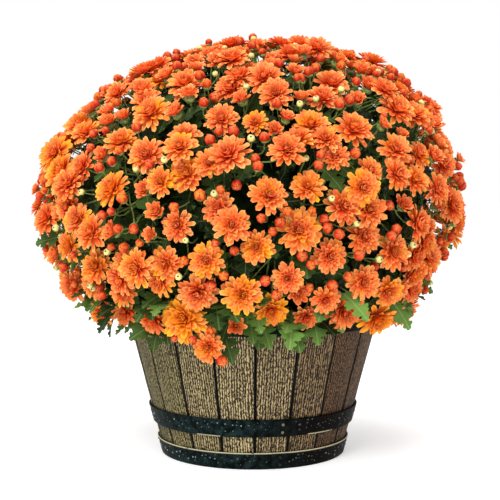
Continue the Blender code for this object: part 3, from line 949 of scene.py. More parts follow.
TINTS = {
    Stage.OPEN: (0.50, 0.20),
    Stage.HALF: (0.20, 0.16),
    Stage.BUD: (0.42, 0.36),
    Stage.YOUNG: (0.60, 0.30),
}


@dataclass(frozen=True)
class Head:
    """A flower head: its spray, place, direction, radius, stage and colour.

    The tint runs from 0, red, to 1, golden.
    """

    spray: int
    centre: Vector
    facing: Vector
    radius: float
    stage: Stage
    tint: float
    packed: bool = False


@dataclass(frozen=True)
class GapRule:
    """What stands in a gap with more room than this: by what chance, of what radius, and how far out."""

    stage: Stage
    room: float
    chance: float
    radius: Pair
    rise: float


@dataclass
class Layout:
    """Every spray and flower head: those of the frame, by the same rule, and smaller ones in the gaps."""

    mound: Mound
    seed: int = 71
    sprays: int = 35
    ring: int = 7
    ring_radius: float = 0.049
    ring_stray: Pair = (0.92, 1.08)
    gap_every: int = 2
    place_radius: Pair = (0.0205, 0.0325)
    rounds: int = 120
    push: float = 0.45
    largest: float = 0.0285
    room: float = 0.97
    bloom_sink: Pair = (-0.005, 0.013)
    skyward: float = 0.38
    wander: float = 0.27
    hanging: Vector = Vector((-0.051, -0.196, 0.158))
    hanging_facing: Vector = Vector((-0.2, -1.0, -0.2))
    hanging_radius: float = 0.0185
    hanging_tint: float = 0.5
    extra_above: float = 0.216
    sunward: Vector = Vector((-0.05, -0.46, 0.0))
    bud_radius: float = 0.0062
    bud_sink: Pair = (0.000, 0.014)
    bud_tries: int = 40
    bud_reach: Pair = (0.35, 1.35)
    fullness: Pair = (0.72, 0.99)
    half_below: float = 0.0185
    clumps: int = 40
    clumps_above: float = 0.235
    crowd_radius: Pair = (0.0165, 0.0225)
    crowd_between: Pair = (0.42, 0.62)
    crowd_sink: Pair = (-0.007, 0.007)
    crowd_stray: float = 0.32
    gap_places: int = 1500
    gap_rules: tuple[GapRule, ...] = (
        GapRule(Stage.HALF, 0.0080, 1.0, (0.0110, 0.0160), -0.004),
        GapRule(Stage.BUD, 0.0035, 1.0, (0.0046, 0.0068), 0.004),
        GapRule(Stage.YOUNG, 0.0005, 0.30, (0.0034, 0.0044), 0.002),
    )
    gap_sink: Pair = (-0.004, 0.008)
    young_places: int = 116
    young_seed: int = 5
    young_room: float = 0.0012
    young_radius: Pair = (0.0036, 0.0045)
    young_sink: Pair = (-0.007, 0.003)
    young_tint: Pair = (0.3, 0.9)
    fork_sink: float = 0.056
    root_pull: float = 0.25
    lit_stray: float = 0.16
    lit_share: Pair = (0.2, 1.2)
    golden_low: float = 0.9
    red_right: float = 0.35
    gap_turn: Pair = (0.03, 0.05)
    gap_skyward: float = 0.5
    gap_stray: float = 0.35
    distinct: tuple[tuple[Stage, Triple, Triple, float, float], ...] = (
        (Stage.OPEN, (-0.078, -0.190, 0.190), (-0.35, -1.0, 0.15), 0.0275, 1.0),
        (Stage.HALF, (-0.020, -0.200, 0.183), (0.10, -1.0, 0.05), 0.0140, 0.4),
        (Stage.BUD, (-0.068, -0.196, 0.166), (-0.2, -1.0, 0.3), 0.0056, 0.2),
        (Stage.BUD, (-0.047, -0.200, 0.178), (0.1, -1.0, 0.6), 0.0060, 0.9),
        (Stage.BUD, (-0.035, -0.199, 0.143), (0.3, -1.0, -0.3), 0.0068, 0.8),
        (Stage.BUD, (-0.089, -0.188, 0.167), (-0.3, -1.0, 0.1), 0.0042, 0.6),
        (Stage.HALF, (-0.273, -0.020, 0.335), (-0.8, -0.5, 0.4), 0.0100, 0.0),
        (Stage.BUD, (-0.262, -0.035, 0.350), (-0.8, -0.4, 0.6), 0.0072, 0.1),
        (Stage.YOUNG, (-0.270, -0.030, 0.312), (-0.9, -0.4, 0.1), 0.0042, 0.8),
        (Stage.HALF, (-0.246, -0.020, 0.398), (-0.7, -0.5, 0.7), 0.0110, 0.2),
        (Stage.BUD, (0.262, -0.030, 0.340), (0.8, -0.4, 0.4), 0.0072, 0.1),
        (Stage.HALF, (0.252, -0.060, 0.372), (0.7, -0.5, 0.5), 0.0100, 0.2),
    )
    hubs: list[Pair] = field(default_factory=list)
    heads: list[Head] = field(default_factory=list)

    def __post_init__(self) -> None:
        """Places the frame's heads, and then the smaller ones."""
        self.draw = random.Random(self.seed)
        self.own = random.Random(self.seed + 1)
        self.place_blooms()
        self.place_buds()
        for stage, place, way, size, tint in self.distinct:
            centre, out = Vector(place), Vector(way).normalized()
            self.heads.append(Head(self.nearest_spray(centre), centre, out, size, stage, tint))

    def relaxed(self, points: Sequence[Vector], rooms: Sequence[float]) -> list[Vector]:
        """Pushes points apart over the mound until each pair keeps the sum of its rooms.

        Args:
            points: The points.
            rooms: How much room each wants round it.

        Returns:
            The points where they come to rest.
        """
        places = np.array(points)
        wanted = np.add.outer(rooms, rooms)
        for _ in range(self.rounds):
            apart = places[:, None] - places[None]
            distance = np.linalg.norm(apart, axis=2)
            np.fill_diagonal(distance, 1.0)
            push = np.clip(wanted - distance, 0.0, None) / distance
            places = places + self.push * (apart * push[:, :, None]).sum(axis=1)
            spots = [self.mound.place(place) for place in places]
            lowest = self.mound.lowest_bloom
            places = np.array([self.mound.point(max(lat, lowest), az) for lat, az in spots])
        return [Vector(place) for place in places]

    def start_places(self) -> list[Vector]:
        """Sets out the blooms before they push each other apart.

        Returns:
            Their points, spray by spray, with each spray's middle one first.
        """
        points = []
        for latitude, azimuth in self.mound.even_places(self.sprays, self.mound.lowest_spray):
            spin = self.draw.uniform(0, math.tau)
            points.append(self.mound.point(latitude, azimuth))
            for index in range(self.ring):
                angle = spin + math.tau * index / self.ring
                reach = self.ring_radius * self.draw.uniform(*self.ring_stray)
                points.append(self.mound.beside(latitude, azimuth, angle, reach))
        return points

    def place_blooms(self) -> None:
        """Places the blooms of every spray: one in the middle and a ring round it, with gaps."""
        points = self.start_places()
        rooms = [self.draw.uniform(*self.place_radius) for _ in points]
        points = self.relaxed(points, rooms)
        each = self.ring + 1
        groups = [points[first : first + each] for first in range(0, len(points), each)]
        self.hubs = [self.mound.place(sum(group, Vector()) / each) for group in groups]
        gaps = range(each - 1, len(points), self.gap_every * each)
        blooms = []
        for index, point in enumerate(points):
            latitude, azimuth = self.mound.place(point)
            sink = self.draw.uniform(*self.bloom_sink)
            way = self.mound.normal(latitude, azimuth) + self.skyward * UP
            way = (way + nudge(self.draw, self.wander)).normalized()
            radius = self.largest
            for other, room in zip(points, rooms):
                if other is not point:
                    share = rooms[index] / (rooms[index] + room)
                    radius = min(radius, self.room * share * (point - other).length)
            if index not in gaps:
                blooms.append([index // each, self.mound.point(latitude, azimuth, sink), way, radius])
        hanging = min(blooms, key=lambda bloom: (bloom[1] - self.hanging).length)
        hanging[1:3] = [self.hanging, self.hanging_facing.normalized()]
        for spray, centre, way, radius in blooms:
            stage = Stage.HALF if radius < self.half_below else Stage.OPEN
            size = radius * self.own.uniform(*self.fullness)
            tint = self.tint_at(centre, stage)
            if centre is self.hanging:
                size, tint = self.hanging_radius, self.hanging_tint
            self.heads.append(Head(spray, centre, self.lit(way), size, stage, tint, packed=True))

    def place_buds(self) -> None:
        """Places one bud a spray, at the emptiest of several spots near its middle."""
        taken = [head.centre for head in self.heads]
        for spray, (latitude, azimuth) in enumerate(self.hubs):
            spots = []
            for _ in range(self.bud_tries):
                angle = self.draw.uniform(0, math.tau)
                reach = self.draw.uniform(*self.bud_reach) * self.ring_radius
                lat, az = self.mound.place(self.mound.beside(latitude, azimuth, angle, reach))
                lat = max(lat, self.mound.lowest_bloom)
                spots.append(self.mound.point(lat, az, self.draw.uniform(*self.bud_sink)))
            rooms = [min((spot - other).length for other in taken) for spot in spots]
            spot = spots[rooms.index(max(rooms))]
            taken.append(spot)
            way = (spot - self.fork(spray)).normalized()
            tint = self.tint_at(spot, Stage.BUD)
            self.heads.append(Head(spray, spot, way, self.bud_radius, Stage.BUD, tint, packed=True))

    def fork(self, spray: int) -> Vector:
        """Where a spray's stems part."""
        return self.mound.point(*self.hubs[spray], self.fork_sink)

    def nearest_spray(self, spot: Vector) -> int:
        """The spray whose stems part nearest to a spot."""
        return min(range(self.sprays), key=lambda spray: (self.fork(spray) - spot).length)

    def root(self, head: Head) -> Vector:
        """Finds where a head's stem sets off.

        Args:
            head: The head.

        Returns:
            Its spray's fork, or a point nearly under the head if the frame lacks it.
        """
        fork = self.fork(head.spray)
        under = self.mound.point(*self.mound.place(head.centre), self.fork_sink)
        return fork if head.packed else under.lerp(fork, self.root_pull)

    def tint_at(self, spot: Vector, stage: Stage) -> float:
        """Draws a head's colour: golden low down, redder on the right and where it is half open.

        Args:
            spot: Where the head is.
            stage: How far it has opened.

        Returns:
            A number from 0, red, to 1, golden.
        """
        drift = self.golden_low * (self.mound.centre.z - spot.z) - self.red_right * spot.x
        base, spread = TINTS[stage]
        return min(1.0, max(0.0, base + drift + self.own.gauss(0.0, spread)))

    def lit(self, way: Vector) -> Vector:
        """A head's direction once it has leaned towards the light, each by its own share."""
        leant = way + nudge(self.own, self.lit_stray)
        return (leant + self.own.uniform(*self.lit_share) * self.sunward).normalized()

    def crowd(self) -> None:
        """Pushes more blooms in between their neighbours, so that they stand in clumps."""
        mound, own = self.mound, self.own
        blooms = [head for head in self.heads if head.stage in (Stage.OPEN, Stage.HALF)]
        for latitude, azimuth in mound.even_places(self.clumps, mound.lowest_bloom, turn=0.4):
            spot = mound.point(latitude, azimuth)
            if spot.z < self.clumps_above:
                continue
            near = sorted(blooms, key=lambda head: (head.centre - spot).length)[:4]
            for other in own.sample(near[1:], own.choice((1, 2, 2, 3))):
                middle = near[0].centre.lerp(other.centre, own.uniform(*self.crowd_between))
                lat, az = mound.place(middle)
                centre = mound.point(lat, az, own.uniform(*self.crowd_sink))
                way = mound.normal(lat, az) + self.skyward * UP + nudge(own, self.crowd_stray)
                way = self.lit(way.normalized())
                tint = 0.5 * (near[0].tint + self.tint_at(centre, Stage.OPEN))
                size = own.uniform(*self.crowd_radius)
                self.heads.append(Head(other.spray, centre, way, size, Stage.OPEN, tint))

    def gap_rule(self, room: float) -> GapRule | None:
        """Picks what stands in a gap.

        Args:
            room: How far the nearest head's edge is from its middle.

        Returns:
            The rule for it, or None if it stays empty.
        """
        for rule in self.gap_rules:
            if room > rule.room:
                return rule if rule.chance == 1.0 or self.own.random() < rule.chance else None
        return None

    def fill_gaps(self) -> None:
        """Adds half-open heads, buds and young buds where the blooms leave room."""
        self.crowd()
        lowest = self.mound.lowest_bloom
        for latitude, azimuth in self.mound.even_places(self.gap_places, lowest, turn=0.7):
            latitude += self.own.uniform(-self.gap_turn[0], self.gap_turn[0])
            azimuth += self.own.uniform(-self.gap_turn[1], self.gap_turn[1])
            spot = self.mound.point(max(latitude, lowest), azimuth)
            room = min((spot - head.centre).length - head.radius for head in self.heads)
            if spot.z < self.extra_above:
                continue
            rule = self.gap_rule(room)
            if rule is None:
                continue
            radius = self.own.uniform(*rule.radius)
            sink = self.own.uniform(*self.gap_sink) - rule.rise
            centre = self.mound.point(max(latitude, lowest), azimuth, sink)
            way = self.mound.normal(latitude, azimuth) + self.gap_skyward * UP
            way = self.lit(way + nudge(self.own, self.gap_stray))
            spray, tint = self.nearest_spray(centre), self.tint_at(centre, rule.stage)
            self.heads.append(Head(spray, centre, way, radius, rule.stage, tint))
        self.add_young()

    def add_young(self) -> None:
        """Adds more young buds where the heads still leave a little room, with draws of their own."""
        draw, lowest = random.Random(self.young_seed), self.mound.lowest_bloom
        for latitude, azimuth in self.mound.even_places(self.young_places, lowest, turn=0.2):
            spot = self.mound.point(latitude, azimuth)
            room = min((spot - head.centre).length - head.radius for head in self.heads)
            if spot.z < self.extra_above or room < self.young_room:
                continue
            centre = self.mound.point(latitude, azimuth, draw.uniform(*self.young_sink))
            way = self.mound.normal(latitude, azimuth) + self.gap_skyward * UP
            way = (way + nudge(draw, self.gap_stray) + self.sunward).normalized()
            radius, tint = draw.uniform(*self.young_radius), draw.uniform(*self.young_tint)
            self.heads.append(Head(self.nearest_spray(centre), centre, way, radius, Stage.YOUNG, tint))


# Flower heads

@dataclass(frozen=True)
class PetalShape:
    """One petal as a thin lens: rows of points from its base to its tip, for a unit length and width.

    It sets off along +X at an angle of lift, curls up by curl over its length, and by hook at its tip.
    The channel is how far its edges stand above its middle, as a share of its half width.
    """

    shares: tuple[float, ...]
    half_widths: tuple[float, ...]
    lift: float
    curl: float
    hook: float
    channel: float
    start: Triple = (0.0, 0.0, 0.0)
    reach: float = 1.0
    thickness: float = 0.05

    def mesh(self, name: str) -> Mesh:
        """Builds the petal along +X, facing +Z, with its attributes.

        Args:
            name: The mesh's name.

        Returns:
            The petal, whose back's faces follow those of its front.
        """
        bm = bmesh.new()
        above, below, along, across = [], [], [], []
        spot, last = Vector(self.start), 0.0
        for share, half in zip(self.shares, self.half_widths):
            middle = (share + last) / 2
            way = self.lift + self.curl * middle + self.hook * middle**4
            spot = spot + self.reach * (share - last) * Vector((math.cos(way), 0.0, math.sin(way)))
            last = share
            out = Vector((-math.sin(way), 0.0, math.cos(way)))
            if half:
                edge = out * self.channel * half
                left = bm.verts.new(spot + edge + Vector((0, half, 0)))
                right = bm.verts.new(spot + edge - Vector((0, half, 0)))
                above.append([left, bm.verts.new(spot), right])
                below.append([left, bm.verts.new(spot - out * self.thickness), right])
                across += [1.0, -1.0, 0.0, 0.0]
            else:
                end = bm.verts.new(spot)
                above.append([end])
                below.append([end])
                across.append(0.0)
            along += [share] * (len(across) - len(along))
        for rows, flip in ((above, False), (below, True)):
            for near, far in zip(rows, rows[1:]):
                for face in strips(near, far):
                    bm.faces.new(reversed(face) if flip else face)
        mesh = mesh_of(bm, name, BLADE_SHARP)
        mark_blade(mesh, along, across)
        return mesh


def strips(near: Sequence[Any], far: Sequence[Any]) -> list[tuple[Any, ...]]:
    """Lays out the faces between two rows of points.

    Args:
        near: A row, or a single point.
        far: A row of the same length, or a single point.

    Returns:
        The corners of each face.
    """
    if len(near) == 1:
        return [(near[0], far[k + 1], far[k]) for k in range(len(far) - 1)]
    if len(far) == 1:
        return [(near[k], near[k + 1], far[0]) for k in range(len(near) - 1)]
    return [(near[k], near[k + 1], far[k + 1], far[k]) for k in range(len(near) - 1)]


@dataclass(frozen=True)
class HeadForm:
    """How a stage of flower head is put together, in shares of its radius.

    Each pair goes from the outermost petal to the innermost one. Forms are numbers of petal shapes.
    """

    petals: int
    tilt: Pair
    length: Pair
    width: Pair
    form: tuple[int, int]
    base: float
    calyx: float
    calyx_depth: float
    bend: float = 1.15
    jitter: float = 1.0


HEAD_FORMS = {
    Stage.OPEN: HeadForm(64, (-0.16, 1.40), (1.0, 0.54), (0.33, 0.24), (0, 3), 0.14, 0.24, 0.08, 1.0),
    Stage.HALF: HeadForm(30, (0.58, 1.46), (1.0, 0.66), (0.44, 0.30), (1, 3), 0.14, 0.42, 0.10),
    Stage.BUD: HeadForm(8, (0.0, 0.0), (1.0, 0.88), (1.0, 0.88), (4, 4), 0.0, 0.80, 0.42, 1.0, 0.40),
    Stage.YOUNG: HeadForm(8, (0.0, 0.0), (1.0, 0.84), (1.0, 0.84), (5, 5), 0.0, 0.95, 0.12, 1.0, 0.0),
}


@dataclass(frozen=True)
class BlankPoint:
    """A point that a spray grows from: a head with its sizes, or a point of a stem with its thickness."""

    place: Vector
    petals: float = 0.0
    kind: float = 0.0
    tint: float = 0.5
    drop: float = 0.0
    thick: float = 0.0
    tilt: Triple = (0.0, 0.0, 0.0)
    length: Triple = (0.0, 0.0, 0.0)
    width: Triple = (0.0, 0.0, 0.0)
    form: Triple = (0.0, 0.0, 0.0)
    turn: tuple[float, float, float, float] = (1.0, 0.0, 0.0, 0.0)


BLANK_KINDS = {
    "FLOAT": ("petals", "kind", "tint", "drop", "thick"),
    "FLOAT_VECTOR": ("tilt", "length", "width", "form"),
    "QUATERNION": ("turn",),
}


@dataclass
class SprayMaker:
    """Grows the sprays: petals in a golden-angle spiral, calyces and stems."""

    layout: Layout
    stem_radius: float = 0.0007
    fork_radius: float = 0.0012
    stem_steps: int = 7
    stem_sides: int = 5
    flat_back: float = 0.12

    @staticmethod
    def closed_petal(low: float, high: float) -> PetalShape:
        """Shapes a petal that wraps a bud of unit radius.

        Args:
            low: The latitude that it sets off from.
            high: The latitude that it ends at.

        Returns:
            The petal's shape.
        """
        return PetalShape(
            (0.0, 0.26, 0.58, 0.86, 1.0),
            (0.0, 0.60, 0.68, 0.32, 0.0),
            lift=math.pi / 2 + low,
            curl=high - low,
            hook=0.0,
            channel=0.46,
            start=(math.cos(low), 0.0, math.sin(low)),
            reach=high - low,
        )

    def petal_kit(self) -> Collection:
        """Builds the petal shapes.

        Returns:
            Those of the blooms, from flat outer to incurved inner ones, and those of both kinds of bud.
        """
        rows = (0.0, 0.30, 0.62, 0.88, 1.0)
        shapes = {
            "drooping": PetalShape(rows, (0.0, 0.30, 0.46, 0.42, 0.0), 0.14, -0.14, -0.60, 0.30),
            "flat": PetalShape(rows, (0.0, 0.28, 0.48, 0.44, 0.0), 0.02, 0.10, 0.10, 0.40),
            "cupped": PetalShape(rows, (0.0, 0.28, 0.48, 0.42, 0.0), -0.14, 0.42, 0.30, 0.48),
            "incurved": PetalShape(rows, (0.0, 0.34, 0.50, 0.38, 0.0), -0.28, 0.80, 0.90, 0.55),
            "bud": self.closed_petal(-0.95, 1.50),
            "young_bud": self.closed_petal(-0.95, 1.36),
        }
        return kit("petals", [shape.mesh(name) for name, shape in shapes.items()])

    @staticmethod
    def calyx(sides: int = 10, tooth: float = 0.28) -> Object:
        """Builds the cup under a head: of unit radius, with a toothed rim at height 0.

        Args:
            sides: How many sides it has. Every second one ends in a tooth.
            tooth: How far the teeth stand up.

        Returns:
            The cup as an object to be copied.
        """
        bm = bmesh.new()
        profile = ((0.22, -1.0), (0.78, -0.72), (1.0, -0.30), (1.04, 0.0), (0.80, -0.25))
        rings = lathe(bm, profile, sides)
        for point in rings[3][1::2]:
            point.co.z += tooth
        skin(bm, rings)
        return bpy.data.objects.new("calyx", mesh_of(bm, "calyx", ALL_SMOOTH))

    @staticmethod
    def petals(g: FormGraph, points: Signal, shapes: Signal, golden: Signal, seed: Signal) -> Signal:
        """Grows each head's petals in a spiral, from the outermost to the innermost.

        Args:
            g: The tree.
            points: A point for each head.
            shapes: The petal shapes.
            golden: The angle from one petal to the next.
            seed: Seed of the petals' small differences.

        Returns:
            The petals as copies.
        """
        amount, kind = g.stored("petals"), g.stored("kind")
        inputs = {"Geometry": points, "Amount": amount}
        spiral = g.node("GeometryNodeDuplicateElements", {"domain": "POINT"}, inputs)
        index = spiral.sibling("Duplicate Index")
        share = index / (amount - 1.0)
        tilt_out, tilt_in, bend = g.parted(g.stored("tilt", "FLOAT_VECTOR"))
        long_out, long_in, jitter = g.parted(g.stored("length", "FLOAT_VECTOR"))
        wide_out, wide_in, base = g.parted(g.stored("width", "FLOAT_VECTOR"))
        form_out, form_in, _ = g.parted(g.stored("form", "FLOAT_VECTOR"))
        shrink = share ** 1.5
        tilt = tilt_out + (tilt_in - tilt_out) * (share ** bend) + jitter * g.chance(-0.11, 0.11, seed)
        length = (long_out + (long_in - long_out) * shrink) * (1.0 + jitter * g.chance(-0.10, 0.06, seed + 1))
        width = (wide_out + (wide_in - wide_out) * shrink) * (1.0 + jitter * g.chance(-0.12, 0.12, seed + 2))
        azimuth = index * golden + jitter * g.chance(-0.14, 0.14, seed + 3)
        roll = jitter * g.chance(-0.28, 0.28, seed + 4)
        inward = base * (1.0 - share)
        foot = g.joined(inward * g.maths("COSINE", azimuth), inward * g.maths("SINE", azimuth), 0.0)
        stance = g.stored("turn", "QUATERNION")
        placed = g.moved(spiral, foot, stance)
        for name, value in (("layer", share), ("chance", g.chance(0.0, 1.0, seed + 5))):
            settings = {"data_type": "FLOAT", "domain": "POINT"}
            inputs = {"Geometry": placed, "Name": name, "Value": value}
            placed = g.node("GeometryNodeStoreNamedAttribute", settings, inputs)
        inputs = {"Rotation": stance, "Rotate By": g.turn(roll, -tilt, azimuth)}
        turned = g.node("FunctionNodeRotateRotation", {"rotation_space": "LOCAL"}, inputs)
        stray = jitter * g.chance(-0.45, 0.45, seed + 6)
        number = g.maths("ROUND", form_out + (form_in - form_out) * (share ** 0.9) + stray)
        number = g.maths("MINIMUM", form_in, g.maths("MAXIMUM", form_out, number))
        closed = g.maths("GREATER_THAN", kind, 1.5)
        size = g.joined(length, width, width + (length - width) * closed)
        return g.copies(placed, g.choice(shapes), turned, size, Pick_Instance=True, Instance_Index=number)

    @staticmethod
    def cups(g: FormGraph, points: Signal, cup: Signal) -> Signal:
        """Puts a calyx under each head.

        Args:
            g: The tree.
            points: A point for each head.
            cup: The calyx's shape.

        Returns:
            The calyces as copies.
        """
        stance = g.stored("turn", "QUATERNION")
        seats = g.moved(points, g.joined(0.0, 0.0, -g.stored("drop")), stance)
        inputs = {"Object": cup, "As Instance": True}
        shape = g.node("GeometryNodeObjectInfo", inputs=inputs, output="Geometry")
        size = g.parted(g.stored("form", "FLOAT_VECTOR"))[2]
        return g.copies(seats, shape, stance, g.joined(size, size, size))

    def tree(self) -> FormGraph:
        """Sets up the tree that turns a spray's points and lines into petals, calyces and stems.

        Returns:
            The tree.
        """
        g = FormGraph("spray")
        start = g.start()
        shapes, cup = g.taken("Petals", "Collection"), g.taken("Calyx", "Object")
        names = ("Petal", "Bud", "Young", "Green")
        petal, bud, young, green = (g.taken(f"{name} Finish", "Material") for name in names)
        golden = g.taken("Golden Angle")
        sides, seed = g.taken("Stem Sides", "Int"), g.taken("Seed", "Int")
        is_head = g.maths("GREATER_THAN", g.stored("petals"), 0.5)
        points = g.node("GeometryNodeMeshToPoints", inputs={"Mesh": start, "Selection": is_head})
        petals = g.dressed(self.petals(g, points, shapes, golden, seed), petal)
        for limit, finish in ((1.5, bud), (2.5, young)):
            chosen = g.maths("GREATER_THAN", g.stored("kind"), limit)
            inputs = {"Geometry": petals, "Selection": chosen, "Material": finish}
            petals = g.node("GeometryNodeSetMaterial", inputs=inputs)
        stems = {"Geometry": g.tubes(start, sides), "Shade Smooth": True}
        stems = g.dressed(g.node("GeometryNodeSetShadeSmooth", inputs=stems), green)
        g.end(g.together(petals, g.dressed(self.cups(g, points, cup), green), stems))
        return g

    def head_point(self, head: Head, spin: float) -> BlankPoint:
        """Sizes up a head.

        Args:
            head: The head.
            spin: Its turn about its own axis.

        Returns:
            The point that its petals and its calyx grow from.
        """
        form, size = HEAD_FORMS[head.stage], head.radius
        back = self.flat_back * size if head.stage in (Stage.OPEN, Stage.HALF) else 0.0
        return BlankPoint(
            head.centre - back * head.facing,
            petals=form.petals,
            kind=list(Stage).index(head.stage),
            tint=head.tint,
            drop=form.calyx_depth * size,
            tilt=(*form.tilt, form.bend),
            length=(form.length[0] * size, form.length[1] * size, form.jitter),
            width=(form.width[0] * size, form.width[1] * size, form.base * size),
            form=(*form.form, form.calyx * size),
            turn=tuple(facing(head.facing, spin)),
        )

    def stem_points(self, head: Head) -> Iterator[BlankPoint]:
        """Runs a head's stem from its root to its calyx.

        Args:
            head: The head.

        Yields:
            The stem's points in order.
        """
        form, mound = HEAD_FORMS[head.stage], self.layout.mound
        root = self.layout.root(head)
        normal = mound.normal(*mound.place(root))
        end = head.centre - (form.calyx_depth + form.calyx) * 0.95 * head.radius * head.facing
        for step, spot in enumerate(arc(root, normal, end, head.facing, self.stem_steps)):
            share = step / (self.stem_steps - 1)
            yield BlankPoint(spot, thick=self.fork_radius + (self.stem_radius - self.fork_radius) * share)

    def blank(self, spray: int) -> Mesh:
        """Sets out a spray's points, one for each head, and a line of points for each stem.

        Args:
            spray: The spray's number, from 0.

        Returns:
            The mesh with the sizes that the tree reads.
        """
        heads = [head for head in self.layout.heads if head.spray == spray]
        draw = random.Random(spray)
        points = [self.head_point(head, draw.uniform(0, math.tau)) for head in heads]
        edges = []
        for head in heads:
            for step, point in enumerate(self.stem_points(head)):
                if step:
                    edges.append((len(points) - 1, len(points)))
                points.append(point)
        mesh = bpy.data.meshes.new("spray_blank")
        mesh.from_pydata([point.place for point in points], edges, [])
        for kind, names in BLANK_KINDS.items():
            for name in names:
                hold(mesh, name, [getattr(point, name) for point in points], kind)
        return mesh

    def build(self, finishes: Mapping[str, Material]) -> None:
        """Makes one piece of each spray.

        Args:
            finishes: Materials by name: petal, bud, young and stem.
        """
        petals, cup, tree = self.petal_kit(), self.calyx(), self.tree()
        for spray in range(self.layout.sprays):
            name = f"spray_{spray + 1:02d}"
            values = {
                "Petals": petals,
                "Calyx": cup,
                "Petal Finish": finishes["petal"],
                "Bud Finish": finishes["bud"],
                "Young Finish": finishes["young"],
                "Green Finish": finishes["stem"],
                "Golden Angle": GOLDEN_ANGLE,
                "Stem Sides": self.stem_sides,
                "Seed": 10 * spray,
            }
            mesh = tree.grown(f"{name}_in_bloom", self.blank(spray), values)
            keep_only(mesh, ("along", "across", "under", "layer", "tint", "chance"))
            add_piece(f"{name}_in_bloom", mesh, [name])
        discard(petals)
        bpy.data.objects.remove(cup)


def arc(start: Vector, way: Vector, end: Vector, last: Vector, count: int) -> Iterator[Vector]:
    """Points along a smooth curve between two points.

    Args:
        start: The first point.
        way: Direction at the first point.
        end: The last point.
        last: Direction at the last point.
        count: How many points.

    Yields:
        The points in order.
    """
    pull = 0.45 * (end - start).length
    corners = (start, start + pull * way, end - pull * last, end)
    for step in range(count):
        share = step / (count - 1)
        rest = 1 - share
        weights = (rest**3, 3 * rest**2 * share, 3 * rest * share**2, share**3)
        yield sum((weight * corner for weight, corner in zip(weights, corners)), Vector())


# Foliage

@dataclass(frozen=True)
class Leaf:
    """One leaf: its root, the way it sets off, the way it faces, its length, its arch and its tint."""

    root: Vector
    way: Vector
    face: Vector
    length: float
    bend: float
    tint: float
    fine: bool = False


FINE_OUTLINE = (
    (0.0, 0.0), (0.03, 0.012), (0.19, 0.016), (0.23, 0.100), (0.27, 0.160), (0.32, 0.160),
    (0.345, 0.110), (0.36, 0.045), (0.39, 0.050), (0.42, 0.160), (0.45, 0.235), (0.49, 0.235),
    (0.51, 0.195), (0.545, 0.275), (0.585, 0.250), (0.60, 0.170), (0.61, 0.062), (0.64, 0.066),
    (0.67, 0.185), (0.70, 0.240), (0.745, 0.215), (0.76, 0.170), (0.80, 0.190), (0.825, 0.140),
    (0.83, 0.070), (0.855, 0.070), (0.885, 0.125), (0.92, 0.110), (0.94, 0.060), (0.98, 0.055),
    (1.0, 0.0),
)
PLAIN_OUTLINE = (
    (0.0, 0.0), (0.19, 0.016), (0.26, 0.160), (0.33, 0.150), (0.37, 0.060), (0.45, 0.245),
    (0.56, 0.260), (0.61, 0.080), (0.70, 0.240), (0.79, 0.190), (0.83, 0.085), (0.92, 0.110),
    (1.0, 0.0),
)


@dataclass(frozen=True)
class LeafShape:
    """A lobed leaf of unit length, which arches from its root towards -Z."""

    bend: float
    outline: tuple[Pair, ...]
    fold: float = 0.25
    thickness: float = 0.012
    wave: float = 0.05
    sweep: float = 0.30

    def spot(self, share: float, across: float, lift: float = 0.0) -> Vector:
        """Finds a point of the leaf.

        Args:
            share: Its place along the leaf.
            across: Its place across it, in shares of the length.
            lift: Its height over the leaf's middle layer.

        Returns:
            The point.
        """
        angle = self.bend * share
        up = Vector((math.sin(angle), 0.0, math.cos(angle)))
        middle = Vector((math.sin(angle), 0.0, math.cos(angle) - 1.0)) / self.bend
        ripple = self.wave * across * math.sin(11.0 * share + 2.0 * self.bend)
        return middle + Vector((0.0, across, 0.0)) + (self.fold * abs(across) + ripple + lift) * up

    def mesh(self, name: str) -> Mesh:
        """Builds the leaf with its attributes.

        Args:
            name: The mesh's name.

        Returns:
            The leaf, whose back's faces follow those of its front.
        """
        bm = bmesh.new()
        along, across = [], []

        def point(share: float, side: float, lift: float = 0.0) -> BMVert:
            """Adds a point and notes its place on the leaf.

            Args:
                share: Its place along the leaf.
                side: Its place across it.
                lift: Its height over the leaf's middle layer.

            Returns:
                The point.
            """
            along.append(share)
            across.append(side)
            return bm.verts.new(self.spot(share, side, lift))

        root, tip = point(0.0, 0.0), point(1.0, 0.0)
        inner = self.outline[1:-1]
        edges = [[root, *(point(share, sign * half) for share, half in inner), tip] for sign in (1, -1)]
        for lift in (self.thickness / 2, -self.thickness / 2):
            ribs = [point(share - self.sweep * half, 0.0, lift) for share, half in inner]
            rib = [root, *ribs, tip]
            for sign, edge in zip((1, -1), edges):
                for near, far in zip(range(len(rib) - 1), range(1, len(rib))):
                    corners = [rib[near], rib[far], edge[far], edge[near]]
                    face = list(dict.fromkeys(corners))
                    bm.faces.new(face if sign * lift > 0 else reversed(face))
        mesh = mesh_of(bm, name, BLADE_SHARP)
        mark_blade(mesh, along, across)
        return mesh


